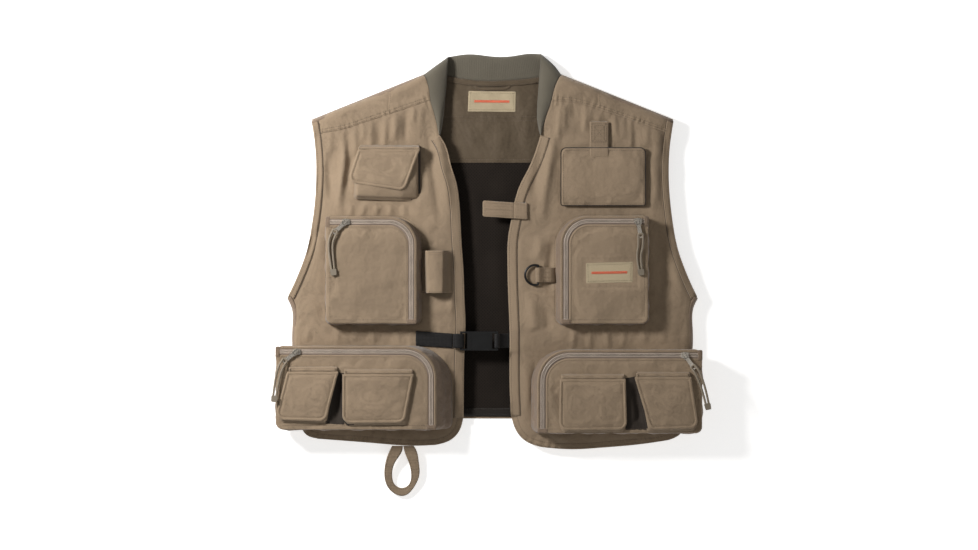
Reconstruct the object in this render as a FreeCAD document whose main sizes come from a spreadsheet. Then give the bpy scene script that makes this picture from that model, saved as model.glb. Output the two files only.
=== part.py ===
"""A short fly-fishing vest, lying on its back with its front up.

Axes: +Z out of the vest's front, +Y towards the collar, +X towards the wearer's left.
The origin lies on the centre back line, on the face that the vest rests on. Millimetres.
"""
import FreeCAD
import Part
import math
import os

doc = FreeCAD.newDocument("FishingVest")

# alias, value in mm (or degrees), what it is
SIZES = [
    ("cloth", 1.5, "thickness of a double layer of poplin with its seam allowance"),
    ("mesh", 0.8, "thickness of the mesh lining and the inner yoke"),
    ("binding", 1.0, "thickness of a binding"),
    ("front_under", 20.0, "height of the front panels' inner face above the rest face"),
    ("front_top", 21.5, "height of the front panels' outer face"),
    ("wall_height", 18.5, "height of the side and shoulder walls"),
    ("neck_half", 98.0, "half width between the two neck points"),
    ("neck_point", 250.0, "Y of the neck points"),
    ("shoulder_half", 257.0, "half width between the shoulder tips"),
    ("shoulder_tip", 186.0, "Y of the shoulder tips"),
    ("underarm_half", 292.0, "half width at the underarm points"),
    ("underarm", -69.0, "Y of the underarm points"),
    ("back_hem", -240.0, "Y of the back panel's hem"),
    ("yoke_edge", 125.0, "Y of the inner yoke's lower edge"),
    ("placket_width", 12.0, "width of the front edges' binding"),
    ("armhole_width", 9.0, "width of the armholes' binding"),
    ("collar_thick", 2.0, "thickness of the rib collar"),
    ("chest_face", 43.5, "height of the chest zip pockets' outer face"),
    ("lower_face", 49.5, "height of the lower zip pockets' outer face"),
    ("zip_band", 14.0, "visible width of a zip, tape to tape"),
    ("zip_centre", 7.4, "distance of a zip's centre line from the pocket's edge"),
    ("zip_slit", 1.4, "gap between the two rows of coil, for the slider's neck"),
    ("coil_width", 2.1, "width of one row of coil"),
    ("coil_height", 1.0, "height of a row of coil above the tape"),
    ("slider_length", 11.0, "length of a zip slider"),
    ("slider_width", 9.0, "width of a zip slider"),
    ("plate_thick", 1.8, "thickness of each plate of a slider"),
    ("tab_thick", 1.2, "thickness of a pull tab"),
    ("tab_eye", 20.0, "distance from a pull tab's pin to its eye"),
    ("cord_radius", 1.6, "radius of the cord on a zip pull"),
    ("cord_spread", 3.2, "half the distance between the cord's two strands at the eye"),
    ("flap_pocket_depth", 5.5, "depth of the small flap pockets on the lower pockets"),
    ("chest_flap_depth", 16.5, "depth of the chest flap pocket"),
    ("flap_thick", 1.2, "thickness of a pocket flap"),
    ("flap_gap", 0.3, "clearance under and beside a flap"),
    ("flap_hem", 6.0, "height of the stitched band above a flap's hinge line"),
    ("label_thick", 0.8, "thickness of a woven label"),
    ("patch_thick", 6.0, "thickness of the fold-down chest panel"),
    ("webbing", 1.5, "thickness of the waist webbing"),
    ("webbing_width", 21.0, "width of the waist webbing"),
    ("strap_centre", -129.0, "Y of the buckle's centre line"),
    ("buckle_width", 27.0, "width of the side-release buckle"),
    ("buckle_centre", 27.0, "height of the buckle's middle plane"),
    ("ring_wire", 1.6, "radius of the D-ring's wire"),
    ("ring_bar", 26.8, "length of the D-ring's bar between wire centres"),
    ("keeper_length", 60.0, "length of the rod keeper along Y"),
    ("hem_loop_thick", 7.0, "thickness of the hem loop"),
    ("hem_loop_slope", 9.0, "slope of the hem loop down to the table, in degrees"),
]

sheet = doc.addObject("Spreadsheet::Sheet", "Dims")
for row, (alias, value, note) in enumerate(SIZES, 1):
    sheet.set(f"A{row}", note)
    sheet.set(f"B{row}", str(value))
    sheet.setAlias(f"B{row}", alias)
doc.recompute()

NODES = {}


def size(alias):
    return float(sheet.get(alias))


def vec(point, z=0.0):
    x, y = point[:2]
    return FreeCAD.Vector(x, y, point[2] if len(point) > 2 else z)


# ---------------------------------------------------------------- outlines


def outline(*runs):
    """Curves of a closed outline. A run ("line", "curve" or "arc", points) starts where the last ended.

    A ("spline", curve) run is a ready curve that starts there. The last run isn't one.
    """
    curves = []
    here = vec(runs[-1][1][-1])
    for kind, points in runs:
        if kind == "spline":
            curves.append(points)
            here = points.EndPoint
            continue
        ahead = [vec(p) for p in points]
        if kind == "curve":
            spline = Part.BSplineCurve()
            spline.interpolate([here] + ahead)
            curves.append(spline)
        elif kind == "arc":
            curves.append(Part.Arc(here, ahead[0], ahead[1]))
        else:
            for start, end in zip([here] + ahead, ahead):
                curves.append(Part.LineSegment(start, end))
        here = ahead[-1]
    return curves


def rounded(points, radii):
    """Curves of a polygon with each corner rounded to its own radius."""
    count = len(points)
    corners = []
    for k, point in enumerate(points):
        here = vec(point)
        back = (vec(points[k - 1]) - here).normalize()
        ahead = (vec(points[(k + 1) % count]) - here).normalize()
        radius = radii[k] if isinstance(radii, (list, tuple)) else radii
        half = back.getAngle(ahead) / 2
        reach = radius / math.tan(half)
        middle = (back + ahead).normalize()
        bulge = here + middle * (radius / math.sin(half) - radius)
        corners.append((here + back * reach, bulge, here + ahead * reach))
    curves = []
    for k, (start, bulge, end) in enumerate(corners):
        curves.append(Part.Arc(start, bulge, end))
        curves.append(Part.LineSegment(end, corners[(k + 1) % count][0]))
    return curves


def rectangle(x_low, x_high, y_low, y_high):
    return outline(("line", [(x_high, y_low), (x_high, y_high), (x_low, y_high), (x_low, y_low)]))


def part_of(points, first, last):
    """Stretch of the smooth curve through points, from the one numbered first to the one numbered last."""
    spline = Part.BSplineCurve()
    spline.interpolate([vec(p) for p in points])
    low, high = sorted((spline.parameter(vec(points[first])), spline.parameter(vec(points[last]))))
    spline.segment(low, high)
    if first > last:
        spline.reverse()
    return spline


def strip_beside(points, width):
    """Outline of a strip that runs along a smooth edge and lies to the left of its direction."""
    inner = []
    for k, point in enumerate(points):
        before = vec(points[max(k - 1, 0)])
        after = vec(points[min(k + 1, len(points) - 1)])
        along = (after - before).normalize()
        inner.append(tuple(vec(point) + FreeCAD.Vector(-along.y, along.x, 0) * width)[:2])
    return outline(
        ("curve", points[1:]), ("line", [inner[-1]]), ("curve", inner[-2::-1]), ("line", [points[0]])
    )


def mirrored(points):
    return [(-x, y) for x, y in points]


# ---------------------------------------------------------------- builders


def register(name, thing):
    thing.Label = name
    NODES[name] = thing
    return thing


def new_body(name):
    return doc.addObject("PartDesign::Body", name)


def pad(body, name, loops, start, length):
    """Pad of a sketch on the body's XY plane, from the height `start` over `length` (expressions)."""
    plane = next(f for f in body.Origin.OriginFeatures if f.Role == "XY_Plane")
    sketch = body.newObject("Sketcher::SketchObject", name + "_sketch")
    sketch.AttachmentSupport = [(plane, "")]
    sketch.MapMode = "FlatFace"
    sketch.setExpression("AttachmentOffset.Base.z", start)
    for loop in loops:
        for curve in loop:
            sketch.addGeometry(curve, False)
    feature = body.newObject("PartDesign::Pad", name + "_pad")
    feature.Profile = sketch
    feature.setExpression("Length", length)
    sketch.Visibility = False
    return feature


def plates(name, *layers):
    """A body of one or more pads, each given as (loops, start, length)."""
    body = new_body(name)
    for k, (loops, start, length) in enumerate(layers):
        pad(body, f"{name}_{k}", loops, start, length)
    return body


def along_y(name, loops, y_high, length):
    """A body whose profile is drawn in X and Z and runs from y_high towards -Y."""
    body = plates(name, (loops, "0", length))
    turn = FreeCAD.Rotation(FreeCAD.Vector(1, 0, 0), 90)
    body.Placement = FreeCAD.Placement(FreeCAD.Vector(0, 0, 0), turn)
    body.setExpression("Placement.Base.y", y_high)
    return body


def group(name, *members):
    compound = doc.addObject("Part::Compound", name)
    compound.Links = list(members)
    return register(name, compound)


def formed(name, shape, place=None):
    """A Part::Feature with a shape made from the sheet's sizes."""
    thing = doc.addObject("Part::Feature", name)
    thing.Shape = shape
    if place is not None:
        thing.Placement = place
    return register(name, thing)


def prism(curves, z_low, z_high):
    wire = Part.Wire(Part.__sortEdges__([c.toShape() for c in curves]))
    face = Part.Face(wire)
    face.translate(FreeCAD.Vector(0, 0, z_low))
    return face.extrude(FreeCAD.Vector(0, 0, z_high - z_low))


def box(x_low, x_high, y_low, y_high, z_low, z_high):
    corner = FreeCAD.Vector(x_low, y_low, z_low)
    return Part.makeBox(x_high - x_low, y_high - y_low, z_high - z_low, corner)


# ---------------------------------------------------------------- the vest's lines

NECK = size("neck_half")
NECK_Y = size("neck_point")
TIP = size("shoulder_half")
TIP_Y = size("shoulder_tip")
ARM = size("underarm_half")
ARM_Y = size("underarm")
HEM_Y = size("back_hem")

# left half (+X); the right half mirrors it
ARMHOLE_TOP = [(TIP, TIP_Y), (TIP - 3.5, 165)]
ARMHOLE_LOW = [(250, 128), (251, 78), (256, 35), (263, 0), (274, -31), (285, -56), (ARM, ARM_Y)]
SIDE = [(286, -82), (285, -114), (280, -180)]
NECK_SEAM = [(-65, 247), (-32, 241.5), (0, 240), (32, 241.5), (65, 245), (NECK, NECK_Y)]

# necklines of the front, from the neck point down to the top of the opening
NECKLINE_RIGHT = [(-NECK, NECK_Y), (-92, 234), (-89, 213), (-83, 192), (-76, 163)]
NECKLINE_LEFT = [(NECK, NECK_Y), (90, 234), (84.5, 213), (77, 192), (69, 163)]

# front yoke seams, from the armhole to the neckline
YOKE_RIGHT = [(3.5 - TIP, 165), (-209, 173), (-181, 182), (-145, 194), (-89, 213)]
YOKE_LEFT = [(TIP - 3.5, 165), (209, 181), (153, 200), (117, 210), (84.5, 213)]

# front edges, from the top of the opening down to the hem's rounded corner
EDGE_RIGHT = [(-76, 163), (-66, 145), (-60, 121), (-53, 99), (-48.5, 74), (-45, 14), (-42, -28),
              (-40.5, -71), (-39, -111), (-40.5, -142), (-41.5, -190), (-42, -239)]
EDGE_LEFT = [(69, 163), (60, 135), (52, 116), (42, 97), (33, 72), (27.5, 43), (23.4, 21), (22, -14),
             (23.4, -71), (25, -114), (25, -185), (27, -236)]
CORNER_RIGHT = [(-47, -256), (-60, -270), (-82, -277)]
CORNER_LEFT = [(34, -257), (48, -272), (70, -280)]
HEM_RIGHT = [(-110, -278), (-160, -275), (-210, -271), (-248, -268)]
HEM_LEFT = [(110, -283), (153, -281), (209, -276), (250, -270)]
SIDE_CORNER_RIGHT = [(-265, -262), (-274, -245)]
SIDE_CORNER_LEFT = [(266, -262), (275, -245)]


def back_outline():
    armhole_left = ARMHOLE_TOP[1:] + ARMHOLE_LOW
    side_left = SIDE + [(275, HEM_Y)]
    return outline(
        ("curve", NECK_SEAM),
        ("line", [(TIP, TIP_Y)]),
        ("curve", armhole_left),
        ("curve", side_left),
        ("line", [(-275, HEM_Y)]),
        ("curve", mirrored(side_left[-2::-1]) + [(-ARM, ARM_Y)]),
        ("curve", mirrored(armhole_left[-2::-1]) + [(-TIP, TIP_Y)]),
        ("line", [(-NECK, NECK_Y)]),
    )


# ---------------------------------------------------------------- back, lining, collar

register("back_panel", plates("back_panel", ([back_outline()], "0", "Dims.cloth")))

lining = outline(
    ("line", [(240, 125)]),
    ("curve", [(241, 78), (246, 35), (253, 0), (264, -31), (276, -60)]),
    ("line", [(270, -232), (-270, -232), (-276, -60)]),
    ("curve", [(-264, -31), (-253, 0), (-246, 35), (-241, 78), (-240, 125)]),
)
register("mesh_lining", plates("mesh_lining", ([lining], "Dims.cloth", "Dims.mesh")))

inner_yoke = outline(
    ("curve", [(-60, 241), (-30, 236), (0, 234.5), (30, 236), (60, 240), (92, 245)]),
    ("line", [(246, 183), (240, 125), (-240, 125), (-246, 183), (-92, 245)]),
)
register("inner_yoke", plates("inner_yoke", ([inner_yoke], "Dims.cloth", "Dims.mesh")))

neck_label = rectangle(-35, 33, 197.5, 227)
register(
    "neck_label", plates("neck_label", ([neck_label], "Dims.cloth + Dims.mesh", "Dims.label_thick"))
)

loop_tape = outline(
    ("line", [(-26, 239)]),
    ("curve", [(-20, 233.5), (-8, 232), (8, 232), (20, 233.5), (26, 239)]),
    ("line", [(31, 239)]),
    ("curve", [(24, 230), (8, 227.8), (-8, 227.8), (-24, 230), (-31, 239)]),
)
register(
    "hanger_loop",
    plates("hanger_loop", ([loop_tape], "Dims.cloth + Dims.mesh + 0.5", "Dims.cloth")),
)

collar_back = outline(
    ("curve", [(-74.6, 267), (-63, 275.5)]),
    ("curve", [(-32, 279.7), (0, 276.5), (32, 277.5), (53, 280.5), (68.9, 279.5)]),
    ("curve", [(88.8, 262), (NECK, NECK_Y)]),
    ("curve", NECK_SEAM[-2::-1] + [(-NECK, NECK_Y)]),
)
fold_right = outline(
    ("curve", [(-74.6, 267), (-63, 275.5)]),
    ("line", [(-62, 273.5)]),
    ("curve", [(-73.5, 265), (-95, 249.3)]),
    ("line", [(-NECK, NECK_Y)]),
)
fold_left = outline(
    ("curve", [(88.8, 262), (68.9, 279.5)]),
    ("line", [(68, 277.5)]),
    ("curve", [(87.6, 260), (95, 249.6)]),
    ("line", [(NECK, NECK_Y)]),
)
facing_right = outline(
    ("curve", [(-74.6, 267), (-63, 275.5)]),
    ("curve", [(-64.6, 248.5), (-67.5, 213), (-70.3, 185), (-74, 166)]),
    ("line", [NECKLINE_RIGHT[-1]]),
    ("curve", NECKLINE_RIGHT[-2::-1]),
)
facing_left = outline(
    ("curve", [(88.8, 262), (68.9, 279.5)]),
    ("curve", [(66, 240), (63.5, 205), (63.5, 185), (67.5, 166)]),
    ("line", [NECKLINE_LEFT[-1]]),
    ("curve", NECKLINE_LEFT[-2::-1]),
)
collar = plates(
    "collar",
    ([collar_back], "0", "Dims.collar_thick"),
    ([fold_right], "Dims.collar_thick - 0.5", "Dims.front_under - Dims.collar_thick + 1"),
    ([fold_left], "Dims.collar_thick - 0.5", "Dims.front_under - Dims.collar_thick + 1"),
    ([facing_right], "Dims.front_under", "Dims.collar_thick"),
    ([facing_left], "Dims.front_under", "Dims.collar_thick"),
)
register("collar", collar)

# ---------------------------------------------------------------- fronts


def front_yoke(name, sign, neckline, seam):
    """Yoke of one front, with the shoulder wall that joins it to the back."""
    tip = (sign * TIP, TIP_Y)
    neck = (sign * NECK, NECK_Y)
    top = outline(("curve", seam[1:]), ("spline", part_of(neckline, 2, 0)), ("line", [tip, seam[0]]))
    wall = outline(("line", [tip, (sign * (TIP - 0.8), TIP_Y - 2), (sign * (NECK - 0.8), NECK_Y - 2), neck]))
    return plates(
        name,
        ([top], "Dims.front_under", "Dims.cloth"),
        ([wall], "Dims.cloth", "Dims.wall_height"),
    )


def front_panel(name, sign, neckline, seam, edge, corner, hem, side_corner):
    """One front below its yoke, from the neckline round the hem to the armhole."""
    side = [(sign * x, y) for x, y in SIDE]
    armhole = [(sign * x, y) for x, y in ARMHOLE_LOW]
    shape = outline(
        ("curve", seam[1:]),
        ("spline", part_of(neckline, 2, 4)),
        ("curve", edge[1:]),
        ("curve", corner),
        ("curve", hem),
        ("curve", side_corner),
        ("curve", side[::-1] + [armhole[-1]]),
        ("curve", armhole[-2::-1] + [seam[0]]),
    )
    return register(name, plates(name, ([shape], "Dims.front_under", "Dims.cloth")))


front_panel("right_front_panel", -1, NECKLINE_RIGHT, YOKE_RIGHT, EDGE_RIGHT, CORNER_RIGHT,
            HEM_RIGHT, SIDE_CORNER_RIGHT)
front_panel("left_front_panel", 1, NECKLINE_LEFT, YOKE_LEFT, EDGE_LEFT, CORNER_LEFT,
            HEM_LEFT, SIDE_CORNER_LEFT)
group(
    "front_yokes",
    front_yoke("right_yoke", -1, NECKLINE_RIGHT, YOKE_RIGHT),
    front_yoke("left_yoke", 1, NECKLINE_LEFT, YOKE_LEFT),
)


def side_wall(name, sign):
    line = [(sign * (ARM - 0.6), ARM_Y - 1.5)] + [(sign * x, y) for x, y in SIDE] + [(sign * 275.2, HEM_Y)]
    points = line if sign < 0 else line[::-1]
    return plates(name, ([strip_beside(points, size("cloth"))], "Dims.cloth", "Dims.wall_height"))


group("side_panels", side_wall("right_side", -1), side_wall("left_side", 1))

right_placket = strip_beside(EDGE_RIGHT[::-1], size("placket_width"))
left_placket = strip_beside(EDGE_LEFT, size("placket_width"))
group(
    "front_bindings",
    plates("right_placket", ([right_placket], "Dims.front_top", "Dims.binding")),
    plates("left_placket", ([left_placket], "Dims.front_top", "Dims.binding")),
)

armhole_line = [(TIP - 1, TIP_Y - 4), (TIP - 3.5, 165)] + ARMHOLE_LOW[:-1] + [(ARM - 3, ARM_Y + 4)]
group(
    "armhole_bindings",
    plates(
        "right_armhole",
        ([strip_beside(mirrored(armhole_line), size("armhole_width"))], "Dims.front_top", "Dims.binding"),
    ),
    plates(
        "left_armhole",
        ([strip_beside(armhole_line[::-1], size("armhole_width"))], "Dims.front_top", "Dims.binding"),
    ),
)

# ---------------------------------------------------------------- zip pockets


def pocket_outline(sign, inner, outer, y_low, y_high, big, small):
    """Rounded outline of a pocket: `inner` is nearer the centre front, where the top corner is wide."""
    points = [(sign * inner, y_low), (sign * outer, y_low), (sign * outer, y_high), (sign * inner, y_high)]
    return rounded(points, [small, small, small, big])


def pocket_wire(curves, z):
    wire = Part.Wire([c.toShape() for c in curves])
    wire.translate(FreeCAD.Vector(0, 0, z))
    return wire


def zip_pocket(name, sign, inner, outer, y_low, y_high, big, face, bulge):
    """A bellows pocket, hollow inside, and the zip let into its top and inner edges."""
    cloth = size("cloth")
    band = size("zip_band")
    floor = size("front_top")
    under = face - cloth

    def shell(inset, z_low, z_top):
        base = pocket_outline(sign, inner - bulge + inset, outer + 1 - inset, y_low - 1 + inset,
                              y_high - inset, big + bulge / 2 - inset, 10 - inset)
        lid = pocket_outline(sign, inner + inset, outer - inset, y_low + inset, y_high - inset,
                             big - inset, 9 - inset)
        return Part.makeLoft([pocket_wire(base, z_low), pocket_wire(lid, z_top)], True, True)

    def ring(near, far, z_low, z_high, end_gap):
        """Solid between two insets of the zip's line, ending end_gap short of the pocket's sides."""
        wide = prism(pocket_outline(sign, inner + near, outer + 40, y_low - 40, y_high - near,
                                    big - near, 5), z_low, z_high)
        narrow = prism(pocket_outline(sign, inner + far, outer + 60, y_low - 60, y_high - far,
                                      big - far, 5), z_low - 1, z_high + 1)
        ends = sorted((sign * (inner - 5), sign * (outer - end_gap)))
        clip = box(ends[0], ends[1], y_low + end_gap, y_high + 5, z_low, z_high)
        return wide.cut(narrow).common(clip)

    lid = prism(pocket_outline(sign, inner, outer, y_low, y_high, big, 9), under, face)
    face_panel = prism(pocket_outline(sign, inner + band, outer + 20, y_low - 20, y_high - band,
                                      big - band, 5), under - 1, face + 1)
    tape = lid.cut(face_panel)
    bag = shell(0, floor, face).cut(shell(cloth, floor + cloth, under)).cut(prism(
        pocket_outline(sign, inner - 1, outer + 20, y_low - 20, y_high + 1, big, 5), under, face + 1
    ).cut(face_panel))
    centre = size("zip_centre")
    half = size("zip_slit") / 2
    coil = size("coil_width")
    top = face + size("coil_height")
    zipper = tape.cut(ring(centre - half, centre + half, under - 1, face + 1, 4))
    zipper = zipper.fuse(ring(centre - half - coil, centre - half, face - 0.2, top, 4))
    zipper = zipper.fuse(ring(centre + half, centre + half + coil, face - 0.2, top, 4))
    formed(name, bag)
    formed(name + "_zipper", zipper.removeSplitter())


CHEST = size("chest_face")
LOWER = size("lower_face")
zip_pocket("right_chest_pocket", -1, 107, 235, -104, 47, 40, CHEST, 6)
zip_pocket("left_chest_pocket", 1, 96, 219.5, -104, 48, 40, CHEST, 6)
zip_pocket("right_lower_pocket", -1, 79, 305, -253, -136, 45, LOWER, 22)
zip_pocket("left_lower_pocket", 1, 63, 295, -258, -141, 45, LOWER, 8)

chest_label = rounded([(132, -47), (198, -47), (198, -17), (132, -17)], 1.5)
register("chest_label", plates("chest_label", ([chest_label], "Dims.chest_face", "Dims.label_thick")))


# ---------------------------------------------------------------- sliders, pull tabs, cords


def slider(name, x, y, face, direction):
    """Zip slider at (x, y): two plates joined by a neck, with a crown that lies along the pull tab."""
    length = size("slider_length")
    width = size("slider_width")
    thick = size("plate_thick")
    lower_top = face - size("cloth") - 0.3
    upper = face + size("coil_height") + 0.3
    half = length / 2
    shield = rounded([(-half, -width * 0.33), (-1, -width / 2), (half, -width * 0.4),
                      (half, width * 0.4), (-1, width / 2), (-half, width * 0.33)], 1.0)
    plate = prism(shield, 0, thick)
    top = plate.copy()
    top.translate(FreeCAD.Vector(0, 0, upper))
    bottom = plate.copy()
    bottom.translate(FreeCAD.Vector(0, 0, lower_top - thick))
    neck = box(-half + 1.5, -half + 7.5, -0.35, 0.35, lower_top - 0.5, upper + 0.5)
    deck = upper + thick
    crown = box(-3.2, 3.2, -1.2, 1.2, deck - 0.4, deck + 3.0)
    crown = crown.cut(box(-2.2, 2.2, -2, 2, deck, deck + 2.0))
    crown.rotate(FreeCAD.Vector(0, 0, 0), FreeCAD.Vector(0, 0, 1), direction)
    body = top.fuse([bottom, neck, crown]).removeSplitter()
    formed(name, body, FreeCAD.Placement(FreeCAD.Vector(x, y, 0), FreeCAD.Rotation()))
    return deck + 1.0


def pull_tab(name, x, y, z, direction):
    """Pull tab: a pin under the crown, two arms, a neck and an eye, lying along `direction`."""
    half = size("tab_thick") / 2
    eye = size("tab_eye")
    pin = Part.makeCylinder(half, 7.2, FreeCAD.Vector(0, -3.6, 0), FreeCAD.Vector(0, 1, 0))
    arms = box(0, 6, -3.6, 3.6, -half, half).cut(box(-1, 4.7, -2.2, 2.2, -1, 1))
    neck = prism(outline(("line", [(eye, -3.0), (eye, 3.0), (5.5, 2.6), (5.5, -2.6)])), -half, half)
    disc = Part.makeCylinder(4.3, 2 * half, FreeCAD.Vector(eye, 0, -half))
    hole = Part.makeCylinder(2.4, 4, FreeCAD.Vector(eye, 0, -2))
    tab = pin.fuse([arms, neck, disc]).cut(hole).removeSplitter()
    turn = FreeCAD.Rotation(FreeCAD.Vector(0, 0, 1), direction)
    formed(name, tab, FreeCAD.Placement(FreeCAD.Vector(x, y, z), turn))


def rounded_route(points):
    """Straight runs joined by tangent arcs, each as large as its two runs allow."""
    edges = []
    here = points[0]
    for before, corner, after in zip(points, points[1:], points[2:]):
        back = before - corner
        ahead = after - corner
        turn = math.pi - back.getAngle(ahead)
        reach = 0.45 * min(back.Length, ahead.Length)
        radius = reach / math.tan(turn / 2)
        back.normalize()
        ahead.normalize()
        start = corner + back * reach
        end = corner + ahead * reach
        middle = (back + ahead).normalize()
        bulge = corner + middle * (math.hypot(radius, reach) - radius)
        edges.append(Part.LineSegment(here, start))
        edges.append(Part.Arc(start, bulge, end))
        here = end
        print(f"    arc radius {radius:.1f} mm")
    edges.append(Part.LineSegment(here, points[-1]))
    return edges


def tube_along(route, radius):
    """Round tube along tangent lines and arcs: a cylinder for each line, a ring section for each arc."""
    pieces = []
    for curve in route:
        edge = curve.toShape()
        start = edge.valueAt(edge.FirstParameter)
        end = edge.valueAt(edge.LastParameter)
        disc = Part.Face(Part.Wire(Part.makeCircle(radius, start, edge.tangentAt(edge.FirstParameter))))
        if isinstance(curve, Part.LineSegment):
            pieces.append(disc.extrude(end - start))
        else:
            angle = math.degrees(edge.LastParameter - edge.FirstParameter)
            pieces.append(disc.revolve(edge.Curve.Center, edge.Curve.Axis, angle))
    return pieces[0].multiFuse(pieces[1:])


def cord_loop(name, centre_line):
    """A cord folded in two through a pull tab's eye, both ends held in a moulded grip."""
    radius = size("cord_radius")
    spread = size("cord_spread")
    points = [FreeCAD.Vector(*p) for p in centre_line]
    strands = ([], [])
    last = len(points) - 1
    tangent = (points[1] - points[0]).normalize()
    side = FreeCAD.Vector(-tangent.y, tangent.x, 0).normalize()
    for k, point in enumerate(points):
        if k > 1:
            along = points[min(k + 1, last)] - points[k - 1]
            side = FreeCAD.Vector(-along.y, along.x, 0).normalize()
        offset = spread + (2.1 - spread) * max(k - 1, 0) / (last - 1)
        strands[0].append(point + side * offset)
        strands[1].append(point - side * offset)
    print(f"  {name}")
    route = rounded_route(strands[0][::-1])
    route.append(Part.Arc(strands[0][0], points[0] - tangent * spread, strands[1][0]))
    route.extend(rounded_route(strands[1]))
    tube = tube_along(route, radius)
    length = sum(e.length() for e in route)
    print(f"    cord {length:.1f} mm, volume {tube.Volume:.0f} mm3, section times length "
          f"{math.pi * radius ** 2 * length:.0f} mm3")
    formed(name, tube)
    end = points[-1]
    along = (end - points[-2]).normalize()
    angle = math.degrees(math.atan2(along.y, along.x))
    block = prism(rounded([(0, -4.6), (9, -3.9), (9, 3.9), (0, 4.6)], 1.5), -2.3, 2.3)
    place = FreeCAD.Placement(end, FreeCAD.Rotation(FreeCAD.Vector(0, 0, 1), angle))
    formed(name.replace("cord_pull", "pull_grip"), block, place)


def zip_pull(name, x, y, face, direction, route):
    """Slider, pull tab and cord of one zip; `route` is the cord's middle line after the eye."""
    pin_height = slider(f"{name}_slider", x, y, face, direction)
    pull_tab(f"{name}_pull_tab", x, y, pin_height, direction)
    angle = math.radians(direction)
    reach = size("tab_eye") + 1.5
    fold = (x + reach * math.cos(angle), y + reach * math.sin(angle), pin_height + 1.2)
    cord_loop(f"{name}_cord_pull", [fold] + route)


CENTRE = size("zip_centre")
zip_pull("right_chest", -207, 47 - CENTRE, CHEST, 223,
         [(-228.5, 12, 48.2), (-228, -6, 47.4), (-225, -27, 47.0)])
zip_pull("left_chest", 205, 48 - CENTRE, CHEST, -80,
         [(209, 5, 48.0), (205.5, -10, 47.4), (208.5, -27, 47.0)])
zip_pull("right_lower", -276, -136 - CENTRE, LOWER, 218,
         [(-298, -164.5, 59.9), (-303, -183, 60.0), (-306, -205, 60.2)])
zip_pull("left_lower", 270.5, -141 - CENTRE, LOWER, -54,
         [(288, -172.5, 59.9), (296.5, -194, 60.0), (301.5, -216, 60.2)])


# ---------------------------------------------------------------- flap pockets


def flap_pocket(name, corners, body_corners, hinge_y, level, slot):
    """A patch pocket with a slot under its flap. Returns the pocket's shape; the flap is a body."""
    cloth = 1.2
    base, depth = size(level[0]), size(level[1])
    thick = size("flap_thick")
    gap = size("flap_gap")
    top = base + depth
    left, right = body_corners[0][0], body_corners[1][0]
    hem = hinge_y + size("flap_hem")
    outer = [(left, hem), (right, hem), body_corners[2], body_corners[3]]
    shape = prism(rounded(outer, [0.5, 0.5, 5, 5]), base, top)
    low = min(body_corners[2][1], body_corners[3][1])
    inner = [(left + cloth, hinge_y), (right - cloth, hinge_y),
             (body_corners[2][0] - cloth, body_corners[2][1] + cloth),
             (body_corners[3][0] + cloth, body_corners[3][1] + cloth)]
    shape = shape.cut(prism(rounded(inner, [0.5, 0.5, 4, 4]), base - 1, top - cloth))
    shape = shape.cut(box(left + 8, right - 8, hinge_y - slot, hinge_y - 2.5, top - cloth - 1, top + 1))
    shape = shape.fuse(box(left, right, hinge_y, hem, top - 0.5, top + gap + thick))
    assert low < hinge_y - slot
    flap = rounded([(corners[0], hinge_y - gap), (corners[1], hinge_y - gap)] + corners[2:], [1, 1, 6, 6])
    height = f"Dims.{level[0]} + Dims.{level[1]} + Dims.flap_gap"
    register(name + "_flap", plates(name + "_flap", ([flap], height, "Dims.flap_thick")))
    return shape.removeSplitter()


LOWER_LEVEL = ("lower_face", "flap_pocket_depth")
CHEST_LEVEL = ("front_top", "chest_flap_depth")
right_outer = flap_pocket(
    "right_outer", [-289, -217, (-235, -241), (-306, -239)],
    [(-286, 0), (-219, 0), (-232, -244), (-300, -242)], -171.5, LOWER_LEVEL, 15)
right_inner = flap_pocket(
    "right_inner", [-211, -111, (-124, -243), (-211, -244)],
    [(-208, 0), (-113, 0), (-121, -246), (-208, -247)], -175, LOWER_LEVEL, 15)
left_inner = flap_pocket(
    "left_inner", [95, 187, (189, -253), (94, -254)],
    [(97, 0), (185, 0), (186, -255.5), (97, -256)], -182, LOWER_LEVEL, 15)
left_outer = flap_pocket(
    "left_outer", [200, 279, (290, -251), (222, -253)],
    [(203, 0), (277, 0), (286, -254.5), (218, -255.5)], -179, LOWER_LEVEL, 15)
formed("right_flap_pockets", Part.makeCompound([right_outer, right_inner]))
formed("left_flap_pockets", Part.makeCompound([left_inner, left_outer]))

chest_flap_pocket = flap_pocket(
    "chest", [-190, -103, (-124.5, 84), (-205, 96)],
    [(-189, 0), (-101.5, 0), (-103, 69.6), (-197, 73)], 142, CHEST_LEVEL, 20)
formed("chest_flap_pocket", chest_flap_pocket)

# ---------------------------------------------------------------- fold-down chest panel

landing = rounded([(140, 152), (163, 152), (163, 180), (140, 180)], 1.5)
backing = rounded([(100, 66), (214, 66), (214, 140), (100, 140)], 6)
group(
    "patch_base",
    plates("panel_backing", ([backing], "Dims.front_top", "Dims.cloth")),
    plates("tab_landing", ([landing], "Dims.front_top", "Dims.cloth")),
)
panel = rounded([(97, 63), (217, 63), (217, 145), (97, 145)], [3, 3, 8, 8])
tab = rounded([(138.5, 132), (164, 132), (164, 182), (138.5, 182)], 1.5)
fold_down = plates(
    "fold_down_panel",
    ([panel], "Dims.front_top + Dims.cloth + 0.3", "Dims.patch_thick"),
    ([tab], "Dims.front_top + Dims.cloth + 0.8", "2.5 mm"),
)
register("fold_down_panel", fold_down)

# ---------------------------------------------------------------- closure tab

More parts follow.
